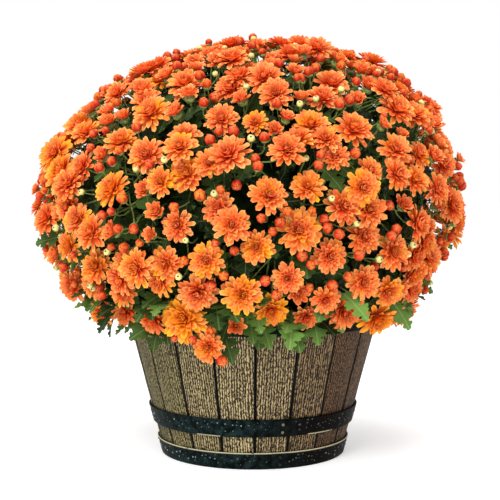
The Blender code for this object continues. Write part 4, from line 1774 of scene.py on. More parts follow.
@dataclass
class Foliage:
    """The plant's green growth: the frame's leaves in fine, many more between them, stems and the shade."""

    layout: Layout
    packed: Object
    core_sink: float = 0.078
    shade_sink: float = 0.060
    root_depth: float = 0.012
    gap_leaves: int = 78
    gap_length: Pair = (0.078, 0.092)
    gap_lean: Pair = (0.2, 0.7)
    gap_bend: Pair = (0.2, 0.7)
    from_hub: float = 0.034
    skirt_leaves: int = 30
    skirt_length: Pair = (0.080, 0.105)
    skirt_bend: Pair = (0.9, 1.5)
    skirt_latitude: Pair = (math.radians(-44), math.radians(-22))
    tries: int = 12
    bends: tuple[float, ...] = (0.2, 0.45, 0.7, 0.95, 1.2, 1.45)
    inner_leaves: int = 860
    inner_seed: int = 860
    inner_length: Pair = (0.036, 0.056)
    inner_depth: Pair = (0.036, 0.062)
    inner_lowest: float = math.radians(-46)
    inner_rise: Pair = (0.25, 0.95)
    inner_bend: Pair = (0.3, 1.1)
    # Tints near 0 paint the inner leaves near black: painted shade.
    inner_shade_tint: Pair = (0.0, 0.06)
    upper_share: float = 0.22
    upper_depth: Pair = (0.030, 0.040)
    upper_shade_tint: Pair = (0.12, 0.38)
    hem_leaves: int = 210
    hem_seed: int = 170
    hem_lowest: float = 0.136
    hem_room: float = 0.021
    hem_length: Pair = (0.050, 0.074)
    hem_bend: Pair = (0.45, 1.3)
    hem_latitude: Pair = (-50, -38)
    hem_depth: Pair = (0.030, 0.058)
    hem_swing: float = 0.7
    hem_rise: Pair = (-0.45, 0.25)
    fresh_share: float = 0.4
    fresh_tint: Pair = (0.55, 1.0)
    dull_tint: Pair = (0.05, 0.40)
    core_rings: int = 26
    core_sides: int = 64
    core_foot: tuple[Pair, ...] = ((0.132, 0.206), (0.120, 0.172))
    core_lowest: float = math.radians(-30)
    roughness: float = 0.011
    crown_radius: float = 0.0115
    crown_foot: float = 0.1203
    stub_radius: float = 0.0032
    stem_sides: int = 7
    stalk: float = 1.38
    chosen: tuple[tuple[Triple, Triple, float, float], ...] = (
        ((0.157, -0.108, 0.208), (0.186, -0.118, 0.168), 0.70, 0.85),
        ((0.103, -0.188, 0.213), (0.128, -0.202, 0.188), 0.70, 1.00),
        ((0.080, -0.145, 0.197), (0.104, -0.162, 0.170), 0.70, 0.95),
        ((0.042, -0.160, 0.185), (0.053, -0.187, 0.150), 0.95, 0.45),
        ((0.068, -0.150, 0.188), (0.074, -0.177, 0.157), 0.70, 0.65),
        ((0.010, -0.170, 0.182), (0.019, -0.188, 0.154), 0.45, 0.60),
        ((-0.110, -0.130, 0.176), (-0.144, -0.150, 0.160), 0.70, 0.35),
        ((-0.109, -0.140, 0.173), (-0.115, -0.160, 0.148), 0.95, 0.20),
        ((-0.033, -0.172, 0.169), (-0.023, -0.182, 0.137), 0.45, 0.25),
        ((0.186, -0.085, 0.220), (0.219, -0.085, 0.210), 0.70, 0.55),
        ((-0.229, -0.095, 0.277), (-0.264, -0.085, 0.269), 0.45, 0.30),
        ((-0.234, -0.030, 0.294), (-0.256, -0.040, 0.320), 0.20, 0.40),
        ((-0.183, -0.060, 0.211), (-0.204, -0.080, 0.186), 0.70, 0.75),
        ((-0.161, -0.090, 0.206), (-0.145, -0.114, 0.182), 0.70, 0.45),
        ((0.231, -0.030, 0.282), (0.249, -0.040, 0.260), 0.45, 0.55),
    )

    def gap_draws(self, latitude: float, azimuth: float) -> Iterator[Leaf]:
        """Draws leaves that lean out between the sprays, by the frame's rule.

        Args:
            latitude: Latitude of the place.
            azimuth: Its azimuth.

        Yields:
            The leaves that the frame tried, in order.
        """
        mound, draw = self.layout.mound, self.layout.draw
        normal = mound.normal(latitude, azimuth)
        for _ in range(self.tries):
            lean = mound.across(normal, draw.uniform(0, math.tau))
            way = (normal + draw.uniform(*self.gap_lean) * lean).normalized()
            root = mound.point(latitude, azimuth, self.core_sink + self.root_depth)
            length, bend = draw.uniform(*self.gap_length), draw.uniform(*self.gap_bend)
            yield Leaf(root, way, normal - 0.9 * lean, length, bend, 0.22, fine=True)

    def skirt_draws(self, azimuth: float) -> Iterator[Leaf]:
        """Draws large leaves that arch out over the rim, by the frame's rule.

        Args:
            azimuth: Azimuth of the place.

        Yields:
            The leaves that the frame tried, in order.
        """
        mound, draw = self.layout.mound, self.layout.draw
        for attempt in range(self.tries):
            latitude = draw.uniform(*self.skirt_latitude)
            turn = azimuth + draw.uniform(-0.08, 0.08)
            root = mound.point(latitude, turn, self.core_sink + self.root_depth)
            outward = level(turn)
            rise = 0.45 - 0.1 * attempt + draw.uniform(-0.15, 0.15)
            way = outward + Vector((0, 0, rise)) + draw.uniform(-0.3, 0.3) * mound.tangents(outward)[0]
            length, bend = draw.uniform(*self.skirt_length), draw.uniform(*self.skirt_bend)
            yield Leaf(root, way.normalized(), UP, length, bend, 0.5, fine=True)

    def packed_leaves(self) -> list[Leaf]:
        """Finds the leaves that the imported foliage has.

        Returns:
            Of each place's draws, the one whose tip is in its mesh, if it keeps clear.
        """
        points = self.packed.data.vertices
        tree = KDTree(len(points))
        for index, vertex in enumerate(points):
            tree.insert(vertex.co, index)
        tree.balance()
        mound = self.layout.mound
        feet = [mound.point(*hub) for hub in self.layout.hubs]
        places = []
        for latitude, azimuth in mound.even_places(self.gap_leaves, mound.lowest_bloom, turn=1.1):
            spot = mound.point(latitude, azimuth)
            if min((spot - foot).length for foot in feet) > self.from_hub:
                places.append(self.gap_draws(latitude, azimuth))
        for index in range(self.skirt_leaves):
            places.append(self.skirt_draws(math.tau * index / self.skirt_leaves))
        found = []
        for draws in places:
            for leaf in draws:
                if tree.find(tip_of(leaf))[2] < 0.0002:
                    found.append(leaf)
                    break
        LOG.info("%d of the packed foliage's leaves found", len(found))
        return [leaf for leaf in found if self.clear(leaf)]

    def inner(self) -> list[Leaf]:
        """Draws leaves inside the bush, which show dark between the blooms: their low tint paints them near
        black as painted shade, and the upper ones somewhat lighter.

        Returns:
            The leaves.
        """
        mound, draw = self.layout.mound, random.Random(self.inner_seed)
        leaves = []
        for latitude, azimuth in mound.even_places(self.inner_leaves, self.inner_lowest, turn=2.3):
            azimuth += draw.uniform(-0.06, 0.06)
            normal = mound.normal(latitude, azimuth)
            lean = mound.across(normal, draw.uniform(0, math.tau))
            upper = draw.random() < self.upper_share
            depth = draw.uniform(*(self.upper_depth if upper else self.inner_depth))
            way = (lean + draw.uniform(*self.inner_rise) * normal).normalized()
            root = mound.point(latitude, azimuth, depth)
            length = draw.uniform(*self.inner_length)
            # Painted shade: the deeper leaves get a tint near 0, which paints them near black, and the upper
            # ones a lighter tint.
            tint = draw.uniform(*(self.upper_shade_tint if upper else self.inner_shade_tint))
            bend = draw.uniform(*self.inner_bend)
            leaves.append(Leaf(root, way, normal + 0.3 * UP, length, bend, tint))
        return leaves

    def hem(self) -> list[Leaf]:
        """Draws leaves along the bottom of the bush, which hang out over the barrel's rim.

        Returns:
            Those that keep clear of the heads.
        """
        mound, draw = self.layout.mound, random.Random(self.hem_seed)
        leaves = []
        for index in range(self.hem_leaves):
            azimuth = math.tau * (index + draw.uniform(-0.3, 0.3)) / self.hem_leaves
            latitude = math.radians(draw.uniform(*self.hem_latitude))
            root = mound.point(latitude, azimuth, draw.uniform(*self.hem_depth))
            outward = level(azimuth)
            sideways = draw.uniform(-self.hem_swing, self.hem_swing) * mound.tangents(outward)[0]
            way = (outward + sideways + UP * draw.uniform(*self.hem_rise)).normalized()
            face = UP + 0.8 * outward
            length, bend = draw.uniform(*self.hem_length), draw.uniform(*self.hem_bend)
            tint = draw.uniform(*(self.fresh_tint if draw.random() < self.fresh_share else self.dull_tint))
            leaf = Leaf(root, way, face, length, bend, tint, fine=True)
            tip = tip_of(leaf)
            room = min((tip - head.centre).length for head in self.layout.heads)
            if room > self.hem_room and tip.z > self.hem_lowest and self.clear(leaf, packed=True):
                leaves.append(leaf)
        return leaves

    def picked(self) -> list[Leaf]:
        """Shapes the leaves that are placed one by one.

        Returns:
            A leaf for each blade's start and tip, its arch and its tint.
        """
        leaves = []
        for start, end, bend, tint in self.chosen:
            tip = Vector(end)
            root = tip + self.stalk * (Vector(start) - tip)
            chord = tip - root
            along = chord.normalized()
            out = Vector((2.0 * tip.x, -1.0, 0.6))
            face = (out - out.dot(along) * along).normalized()
            half = bend / 2
            way = math.cos(half) * along + math.sin(half) * face
            length = chord.length * half / math.sin(half)
            leaves.append(Leaf(root, way, face, length, bend, tint, fine=True))
        return leaves

    def clear(self, leaf: Leaf, packed: bool = False) -> bool:
        """Tells whether a leaf keeps out of the heads that were placed one by one.

        Args:
            leaf: The leaf.
            packed: Whether it has to keep out of the frame's heads too.

        Returns:
            Whether its outer half touches none of them.
        """
        spots = [tip_of(leaf, share) for share in (0.4, 0.6, 0.8, 1.0)]
        heads = [head for head in self.layout.heads if packed or not head.packed]
        return all((spot - head.centre).length > 0.9 * head.radius for spot in spots for head in heads)

    def core(self) -> Object:
        """Builds the shade inside the bush: a rough closed body where the frame has its core.

        Returns:
            The shade as an object that the foliage takes in.
        """
        mound = self.layout.mound
        profile = []
        for step in range(self.core_rings):
            latitude = math.pi / 2 + (self.core_lowest - math.pi / 2) * (step + 0.5) / self.core_rings
            wide, tall = mound.axes(latitude, self.shade_sink + self.roughness / 2)
            profile.append((wide * math.cos(latitude), mound.centre.z + tall * math.sin(latitude)))
        profile += self.core_foot
        bm = bmesh.new()
        rings = []
        for radius, height in profile:
            ring = []
            for k in range(self.core_sides):
                angle = math.tau * k / self.core_sides
                spot = mound.centre + Vector((radius * math.cos(angle), radius * math.sin(angle), 0.0))
                spot.z = height
                spot.x += mound.lean * max(0.0, height - mound.centre.z)
                out = (spot - mound.centre).normalized()
                ring.append(bm.verts.new(spot + self.roughness * noise.noise(spot * 70.0) * out))
            rings.append(ring)
        skin(bm, rings, turned=True)
        return bpy.data.objects.new("shade", mesh_of(bm, "shade"))

    def blank(self, leaves: Sequence[Leaf]) -> Mesh:
        """Sets out a point for each leaf, and lines for the crown and for the stems under the sprays.

        Args:
            leaves: The leaves.

        Returns:
            The mesh with the sizes that the tree reads.
        """
        mound = self.layout.mound
        places = [leaf.root for leaf in leaves]
        turns = [tuple(basis(leaf.way, leaf.face)) for leaf in leaves]
        lengths = [leaf.length for leaf in leaves]
        tints = [leaf.tint for leaf in leaves]
        kinds = len(self.bends)
        forms = [min(range(kinds), key=lambda k: abs(self.bends[k] - leaf.bend)) for leaf in leaves]
        forms = [form + kinds * leaf.fine for form, leaf in zip(forms, leaves)]
        thick = [0.0] * len(leaves)
        edges = []
        crown = [Vector((0.0, 0.0, self.crown_foot)), Vector((0.0, 0.0, mound.centre.z))]
        stubs = []
        deeper = self.core_sink + self.root_depth - self.layout.fork_sink
        for spray, hub in enumerate(self.layout.hubs):
            foot = self.layout.fork(spray)
            stubs.append([foot - deeper * mound.normal(*hub), foot])
        for radius, line in [(self.crown_radius, crown), *((self.stub_radius, stub) for stub in stubs)]:
            edges.append((len(places), len(places) + 1))
            places += line
            thick += [radius, 0.8 * radius]
        extra = len(places) - len(leaves)
        mesh = bpy.data.meshes.new("foliage_blank")
        mesh.from_pydata(places, edges, [])
        hold(mesh, "length", lengths + [0.0] * extra)
        hold(mesh, "tint", tints + [0.5] * extra)
        hold(mesh, "form", forms + [0] * extra, "INT")
        hold(mesh, "thick", thick)
        hold(mesh, "turn", turns + [(1.0, 0.0, 0.0, 0.0)] * extra, "QUATERNION")
        return mesh

    def tree(self) -> FormGraph:
        """Sets up the tree that turns points and lines into leaves and stems round the shade.

        Returns:
            The tree.
        """
        g = FormGraph("foliage")
        start = g.start()
        shapes, core = g.taken("Leaves", "Collection"), g.taken("Core", "Object")
        leaf, green, shade = (g.taken(f"{name} Finish", "Material") for name in ("Leaf", "Stem", "Shade"))
        sides = g.taken("Stem Sides", "Int")
        length, form = g.stored("length"), g.stored("form", "INT")
        is_leaf = g.maths("GREATER_THAN", length, 0.0)
        points = g.node("GeometryNodeMeshToPoints", inputs={"Mesh": start, "Selection": is_leaf})
        stance, size = g.stored("turn", "QUATERNION"), g.joined(length, length, length)
        copies = g.copies(points, g.choice(shapes), stance, size, Pick_Instance=True, Instance_Index=form)
        inside = g.node("GeometryNodeObjectInfo", inputs={"Object": core}, output="Geometry")
        stems = g.dressed(g.tubes(start, sides), green)
        g.end(g.together(g.dressed(copies, leaf), stems, g.dressed(inside, shade)))
        return g

    def build(self, finishes: Mapping[str, Material]) -> None:
        """Makes the foliage as one piece.

        Args:
            finishes: Materials by name: leaf, stem and shade.
        """
        leaves = [*self.packed_leaves(), *self.inner(), *self.hem(), *self.picked()]
        forms = [LeafShape(bend, line) for line in (PLAIN_OUTLINE, FINE_OUTLINE) for bend in self.bends]
        shapes = kit("leaves", [form.mesh("leaf") for form in forms])
        core = self.core()
        values = {
            "Leaves": shapes,
            "Core": core,
            "Leaf Finish": finishes["leaf"],
            "Stem Finish": finishes["stem"],
            "Shade Finish": finishes["shade"],
            "Stem Sides": self.stem_sides,
        }
        mesh = self.tree().grown("foliage_in_leaf", self.blank(leaves), values)
        keep_only(mesh, ("along", "across", "under", "tint"))
        add_piece("foliage_in_leaf", mesh, ["foliage"])
        discard(shapes)
        bpy.data.objects.remove(core)


def tip_of(leaf: Leaf, share: float = 1.0) -> Vector:
    """Finds where an arched leaf ends.

    Args:
        leaf: The leaf.
        share: Less than 1 for the midrib's point at a share of its length.

    Returns:
        The point.
    """
    side = leaf.way.cross(leaf.face).normalized()
    face = side.cross(leaf.way).normalized()
    turn = leaf.bend * share
    along, down = math.sin(turn) / leaf.bend, (1 - math.cos(turn)) / leaf.bend
    return leaf.root + leaf.length * (along * leaf.way - down * face)


# Barrel

@dataclass(frozen=True)
class OakFinish:
    """Coarse weathered oak: pale dashes of grain over brown, with dark joints. By its tint, the staves are
    painted greyer on the left, as painted light, and redder and darker on the right, as painted shade.
    """

    name: str = "weathered_oak"
    spacing: float = 0.0031
    gap: Colour = paint("0E0A07")
    dark: Colour = paint("180F07")
    body: Colour = paint("554830")
    light: Colour = paint("CAB686")
    # A greyer colour for the left side, painted light, and redder, browner colours for the right side,
    # painted shade.
    left_lit_grey: Colour = paint("B6BEA0")
    red: Colour = paint("6E462C")
    right_shade_tan: Colour = paint("7E5C3A")
    sway: Pair = (160.0, 26.0)
    dashes: Pair = (820.0, 300.0)
    bands: Pair = (90.0, 9.0)
    wander: float = 0.006
    joint: Pair = (0.14, 0.42)
    relief: float = 0.0009
    sheen: float = 0.2

    def material(self) -> Material:
        """Builds the material.

        Returns:
            The material.
        """
        g = FinishGraph(self.name)
        across, along = g.attribute("across"), g.attribute("along")
        edge, tint, chance = g.attribute("edge"), g.attribute("tint"), g.attribute("chance")
        offset = chance * 53.0
        sway = g.joined(across * self.sway[0] + offset, along * self.sway[1], offset)
        turns = (across + self.wander * g.grain(sway, 1.0, 3.0, 0.6)) * (math.tau / self.spacing)
        ridges = 0.5 + 0.5 * g.maths("SINE", turns)
        dashes = g.joined(across * self.dashes[0] - offset, along * self.dashes[1], offset)
        dashes = g.grain(dashes, 1.0, 2.0, 0.55)
        bands = g.joined(across * self.bands[0] + offset, along * self.bands[1], offset)
        bands = g.grain(bands, 1.0, 2.0)
        height = ridges * 0.46 + dashes.over(0.34, 0.66) * 0.54
        # Painted shade on the right side: a high tint makes the wood redder and darker, and its pale flecks
        # browner.
        right_shade_share = (tint * 2.0 - 1.0).clamped()
        wood = g.blend(height.over(0.22, 0.52), self.dark, self.body)
        wood = g.blend(right_shade_share * 0.9, wood, self.red, "MULTIPLY")
        colour = g.blend(height.over(0.50, 0.76), wood, g.blend(right_shade_share, self.light, self.right_shade_tan))
        # Painted light on the left side: a low tint makes the wood greyer.
        colour = g.blend((1.0 - tint * 2.0).clamped() * 0.9, colour, self.left_lit_grey, "MULTIPLY")
        colour = g.blend(bands.over(0.40, 0.80) * 0.30, colour, self.dark)
        colour = g.blend(edge.over(*self.joint), colour, self.gap)
        return g.done(
            base_color=colour,
            roughness=0.62 + 0.2 * dashes,
            normal=g.relief(height, self.relief, 0.8),
            specular_ior_level=self.sheen,
        )


@dataclass(frozen=True)
class IronFinish:
    """Blackened iron, wet and blotched in teal, the teal partly a painted sheen, with dark brown on its right
    side as painted shade, and pale edges: scuffed paint, the foot hoop's top edge partly a painted highlight,
    and rivet heads painted pale as a painted highlight.
    """

    name: str = "black_iron"
    dark: Colour = paint("040809")
    lit: Colour = paint("1B2C2B")
    # Dark brown of the right side: painted shade.
    brown: Colour = paint("0B0806")
    wear_and_highlight: Colour = paint("C9C19E")
    blotches: float = 120.0
    grit: float = 900.0
    chips: float = 210.0
    right_shade_span: Pair = (-0.03, 0.09)
    relief: float = 0.0007
    sheen: float = 0.02

    def material(self) -> Material:
        """Builds the material.

        Returns:
            The material.
        """
        g = FinishGraph(self.name)
        blotch = g.grain(g.place(), self.blotches, 4.0, 0.6)
        grit = g.grain(g.place(), self.grit, 2.0, 0.7)
        # Teal blotches over near black, the teal partly a painted sheen; then dark brown on the right side,
        # painted shade.
        colour = g.blend(blotch.over(0.35, 0.7), self.dark, self.lit)
        colour = g.blend(g.parted(g.place())[0].over(*self.right_shade_span), colour, self.brown)
        chips = g.grain(g.place(), self.chips, 3.0, 0.6).over(0.28, 0.42)
        # Pale edges: scuffed paint, and a painted highlight on the foot hoop's top edge and on the rivets'
        # heads.
        wear_and_highlight = g.attribute("wear_and_highlight").over(0.55, 0.85)
        colour = g.blend(wear_and_highlight * chips, colour, self.wear_and_highlight)
        return g.done(
            base_color=colour,
            roughness=0.30 + 0.35 * blotch,
            normal=g.relief(grit * 0.5 + blotch, self.relief, 0.7),
            specular_ior_level=self.sheen,
        )


@dataclass(frozen=True)
class WaterFinish:
    """Drops of water, some painted pale: a painted reflection of the sky, which fades out towards the right
    side.
    """

    name: str = "water_drop"
    dim: Colour = paint("131C1C")
    # Pale colour of the glints: a painted reflection.
    bright: Colour = paint("8FA3A2")
    glints: float = 260.0
    glint_fade_span: Pair = (-0.05, 0.05)

    def material(self) -> Material:
        """Builds the material.

        Returns:
            The material.
        """
        g = FinishGraph(self.name)
        # Painted reflection: pale glints by noise, which fade out towards the right side.
        left = 1.0 - g.parted(g.place())[0].over(*self.glint_fade_span) * 0.8
        sky = g.grain(g.place(), self.glints, 1.0).over(0.45, 0.75) * left
        colour = g.blend(sky, self.dim, self.bright)
        return g.done(base_color=colour, roughness=0.08, specular_ior_level=0.5)


@dataclass(frozen=True)
class SoilFinish:
    """Dark crumbly potting soil with pale grit."""

    name: str = "potting_soil"
    dark: Colour = paint("150E09")
    lit: Colour = paint("3A281A")
    grit: Colour = paint("B9B2A0")
    crumbs: float = 260.0
    specks: float = 520.0
    relief: float = 0.004

    def material(self) -> Material:
        """Builds the material.

        Returns:
            The material.
        """
        g = FinishGraph(self.name)
        crumbs = g.grain(g.place(), self.crumbs, 5.0, 0.7)
        specks = g.grain(g.place(), self.specks, 1.0).over(0.72, 0.78)
        colour = g.blend(crumbs.over(0.35, 0.7), self.dark, self.lit)
        colour = g.blend(specks, colour, self.grit)
        return g.done(base_color=colour, roughness=0.95, normal=g.relief(crumbs, self.relief))


@dataclass(frozen=True)
class Cask:
    """The barrel's shape: a cone that widens upwards, cut into staves by V-shaped joints."""

    foot_radius: float = 0.115
    flare: float = 0.262
    staves: int = 19
    joint_in_front: float = math.radians(-89)
    stave_top: float = 0.187
    stave_thickness: float = 0.012
    clearance: float = 0.0003

    def outside(self, height: float) -> float:
        """Outer radius of the staves at a height."""
        return self.foot_radius + self.flare * height

    def inside(self, height: float) -> float:
        """Radius that clears the staves' flat insides at a height."""
        inner = self.outside(height) - self.stave_thickness - 2 * self.clearance
        return inner * math.cos(math.pi / self.staves)

    def joint_azimuth(self, index: float) -> float:
        """Where the joint before this stave is, counted from the one nearest to the viewer."""
        return self.joint_in_front + math.tau * index / self.staves

    @staticmethod
    def spot(radius: float, azimuth: float, height: float) -> Triple:
        """A point from its distance to the axis, azimuth and height."""
        return (radius * math.cos(azimuth), radius * math.sin(azimuth), height)


@dataclass
class Staves:
    """The staves, each a carved block with a rounded edge along every joint."""

    cask: Cask
    groove: float = 0.0024
    columns: int = 27
    rows: int = 40
    waviness: float = 0.0007
    waves_across: float = 160.0
    waves_along: float = 16.0
    uneven: float = 0.0006

    def shares(self) -> list[float]:
        """Places across a stave from -1 to 1, closer together at its edges."""
        steps = [2 * column / (self.columns - 1) - 1 for column in range(self.columns)]
        return [math.copysign(1 - (1 - abs(step)) ** 1.35, step) for step in steps]

    def sunk(self, margin: float, spot: Vector, stave: int) -> float:
        """How far the front lies inside the cask's outline.

        Args:
            margin: Distance to the nearer edge, in metres.
            spot: The point on the outline.
            stave: The stave's number.

        Returns:
            A depth in metres.
        """
        bevel = max(0.0, 1.0 - margin / self.groove)
        across, along = self.waves_across, self.waves_along
        around = Vector((spot.x * across, spot.y * across, spot.z * along + 9.0 * stave))
        ripple = self.waviness * (0.5 + 0.5 * noise.noise(around))
        return self.groove * bevel**1.8 + ripple

    def mesh(self, stave: int) -> Mesh:
        """Builds one stave where it stands, with what its finish reads.

        Args:
            stave: The stave's number, from 0.

        Returns:
            The mesh.
        """
        cask = self.cask
        draw = random.Random(stave)
        middle = cask.joint_azimuth(stave + 0.5)
        proud = draw.uniform(0.0, self.uneven)
        # Painted light and shade by side: the tint rises towards the right, giving redder, darker staves as
        # painted shade, and falls towards the left, giving greyer ones as painted light, with a little random
        # tone.
        side_shade_and_tone = 0.5 + 0.55 * math.cos(middle) + draw.uniform(-0.12, 0.12)
        bm = bmesh.new()
        names = ("across", "along", "edge")
        layers = {name: bm.verts.layers.float.new(name) for name in names}
        rings = []
        for row in range(self.rows):
            height = cask.stave_top * row / (self.rows - 1)
            outer = cask.outside(height)
            half = math.pi / cask.staves - cask.clearance / 2 / outer
            ring = []
            for share in self.shares():
                angle = middle + share * half
                spot = Vector(cask.spot(outer, angle, height))
                margin = (1 - abs(share)) * half * outer
                sink = proud + self.sunk(margin, spot, stave)
                vertex = bm.verts.new(cask.spot(outer - sink, angle, height))
                values = (share * half * outer, height, max(0.0, 1 - margin / self.groove))
                for name, value in zip(names, values):
                    vertex[layers[name]] = value
                ring.append(vertex)
            for share in (1, -1):
                inner = outer - cask.stave_thickness
                vertex = bm.verts.new(cask.spot(inner, middle + share * half, height))
                vertex[layers["along"]] = height
                vertex[layers["across"]] = share * half * inner
                ring.append(vertex)
            rings.append(ring)
        skin(bm, rings)
        mesh = mesh_of(bm, "stave", HEWN_SHARP)
        hold(mesh, "tint", [min(1.0, max(0.0, side_shade_and_tone))] * len(mesh.vertices))
        hold(mesh, "chance", [draw.random()] * len(mesh.vertices))
        return mesh

    def build(self, oak: Material) -> None:
        """Makes a piece of each stave.

        Args:
            oak: The staves' material.
        """
        for stave in range(self.cask.staves):
            mesh = self.mesh(stave)
            mesh.materials.append(oak)
            add_piece(f"carved_stave_{stave + 1:02d}", mesh, [f"stave_{stave + 1:02d}"])


@dataclass(frozen=True)
class HoopShape:
    """A hoop: its node, heights, how its wet face and pale edges lie, and whether it turns in at its top. The
    pale edges are scuffed paint; the foot hoop's top edge is partly a painted highlight, and the rivets'
    heads are painted pale as a painted highlight.
    """

    node: str
    low: float
    high: float
    turned_in: bool = False
    riveted: bool = True
    # Pale top edge: scuffed paint and a painted highlight.
    top_wear_and_highlight: float = 0.0
    worn_foot: float = 0.0
    pale_edge_arcs: tuple[Pair, ...] = ((0.0, math.pi),)
    # Pale rivet heads: a painted highlight.
    rivet_highlight: float = 0.58


@dataclass
class Hoops:
    """The three iron hoops, with riveted laps and drops of water."""

    cask: Cask
    thickness: float = 0.0024
    segments: int = 190
    lip: float = 0.016
    rounding: float = 0.0022
    corner: float = 0.0006
    hair: float = 0.0002
    dent: float = 0.0004
    lap_azimuth: float = math.radians(-75)
    frame_segments: int = 38
    lap_thickness: float = 0.0014
    lap_margin: float = 0.0015
    lap_bevel: float = 0.0004
    lap_end: float = 0.0005
    lap_parts: int = 8
    rivet_sides: int = 14
    rivet_radius: float = 0.0032
    rivet_height: float = 0.0022
    rivet_places: Pair = (0.28, 0.72)
    drop_radius: Pair = (0.0006, 0.0016)
    drop_spacing: float = 0.0042
    drops_each_metre: float = 50000.0
    shapes: tuple[HoopShape, ...] = (
        HoopShape("hoop_rim", 0.165, 0.190, turned_in=True, riveted=False),
        HoopShape(
            "hoop_belly",
            0.041,
            0.063,
            worn_foot=0.8,
            pale_edge_arcs=((math.radians(-115), 0.13), (math.radians(-50), 0.17)),
            # Rivet heads painted pale: a painted highlight.
            rivet_highlight=0.65,
        ),
        # The foot hoop's pale top edge: scuffed paint and a painted highlight.
        HoopShape("hoop_foot", 0.0, 0.021, top_wear_and_highlight=0.8),
    )

    def profile(self, shape: HoopShape) -> list[tuple[float, float, float, float]]:
        """Lays out a hoop's section round its outer side.

        Args:
            shape: The hoop.

        Returns:
            Radius, height, wetness and paleness of each point: scuffed paint, and on the foot hoop's top edge
            partly a painted highlight.
        """
        cask, low, high = self.cask, shape.low, shape.high
        face, gap, corner = cask.clearance + self.thickness, cask.clearance, self.corner
        head, foot = cask.outside(high), cask.outside(low)
        wall = [(low + corner + (high - low - 2 * corner) * step / 5) for step in range(6)]
        if shape.turned_in:
            under, soft, inner = cask.stave_top + gap, self.rounding, head - self.lip
            top = [
                (head + gap - self.hair, under, 0.0, 0.0),
                (inner, under, 0.0, 0.0),
                (inner, high - self.hair, 0.0, 0.0),
                (inner + corner, high, 0.0, 0.0),
                (head + face - soft, high, 0.0, 0.0),
            ]
            for step in (1, 2, 3):
                angle = math.pi / 2 * (1 - step / 3)
                radius = head + face - soft + soft * math.cos(angle)
                top.append((radius, high - soft + soft * math.sin(angle), 1.0, 0.0))
            wall = [height for height in wall if height < high - soft - 0.001]
        else:
            top = [
                (head + gap, high, 0.0, 0.0),
                (head + face - corner, high, 0.0, shape.top_wear_and_highlight),
                (head + face, high - corner, 0.0, shape.top_wear_and_highlight),
            ]
            wall = wall[:-1]
        outer = [(cask.outside(height) + face, height, 1.0, 0.0) for height in reversed(wall)]
        outer[-2] = (*outer[-2][:2], 0.0, 0.0)
        outer[-1] = (*outer[-1][:2], 0.0, shape.worn_foot)
        return [*top, *outer, (foot + face - corner, low, 0.0, shape.worn_foot), (foot + gap, low, 0.0, 0.0)]

    def pale_edge_at(self, shape: HoopShape, azimuth: float) -> bool:
        """Tells whether a hoop's edges are pale at an azimuth: scuffed paint, and on the foot hoop's top edge
        partly a painted highlight.
        """
        arcs = shape.pale_edge_arcs
        return any(abs(math.remainder(azimuth - middle, math.tau)) < reach for middle, reach in arcs)

    def band(self, shape: HoopShape) -> Mesh:
        """Builds a hoop's body, turned round the axis and slightly uneven, with pale edges and wetness; the
        pale edges are scuffed paint, and on the foot hoop's top edge partly a painted highlight.

        Args:
            shape: The hoop.

        Returns:
            The mesh.
        """
        bm = bmesh.new()
        wet, wear_and_highlight = bm.verts.layers.float.new("wet"), bm.verts.layers.float.new("wear_and_highlight")
        rings = []
        profile = self.profile(shape)
        for segment in range(self.segments):
            azimuth = math.tau * segment / self.segments
            ring = []
            for radius, height, wetness, paleness in profile:
                spot = Vector(self.cask.spot(radius, azimuth, height))
                dent = self.dent * noise.noise(spot * 55.0) if wetness else 0.0
                vertex = bm.verts.new(self.cask.spot(radius - abs(dent), azimuth, height))
                vertex[wet] = wetness
                # Pale edges: scuffed paint, and on the foot hoop's top edge a painted highlight.
                vertex[wear_and_highlight] = paleness if self.pale_edge_at(shape, azimuth) else 0.0
                ring.append(vertex)
            rings.append(ring)
        skin(bm, [*rings, rings[0]], capped=False)
        if shape.riveted:
            self.add_lap(bm, shape)
        bmesh.ops.recalc_face_normals(bm, faces=bm.faces)
        return mesh_of(bm, shape.node, IRON_SHARP)

    def add_lap(self, bm: BMesh, shape: HoopShape) -> None:
        """Adds the hoop's end, which lies over its start, and its two rivets.

        Args:
            bm: The hoop's bmesh.
            shape: The hoop.
        """
        cask = self.cask
        low, high = shape.low + self.lap_margin, shape.high - self.lap_margin
        foot, head = cask.outside(low), cask.outside(high)
        span = math.tau / self.frame_segments
        first = cask.joint_azimuth(0)
        middle = first + (round((self.lap_azimuth - first) / span - 0.5) + 0.5) * span
        reach = cask.clearance + self.thickness + self.lap_thickness
        inside = self.thickness / 2
        rings = []
        for part in range(self.lap_parts + 1):
            azimuth = middle + span * (part / self.lap_parts - 0.5)
            ends = self.lap_end if part in (0, self.lap_parts) else 0.0
            corners = [
                (foot + cask.clearance + inside, low),
                (foot + reach - self.lap_bevel - ends, low),
                (foot + reach - ends, low + self.corner),
                (head + reach - ends, high - self.corner),
                (head + reach - self.lap_bevel - ends, high),
                (head + cask.clearance + inside, high),
            ]
            rings.append([bm.verts.new(cask.spot(radius, azimuth, height)) for radius, height in corners])
        skin(bm, rings)
        for share in self.rivet_places:
            height = shape.low + share * (shape.high - shape.low)
            spot = Vector(cask.spot(cask.outside(height) + reach, middle, height))
            self.add_rivet(bm, spot, shape.rivet_highlight)

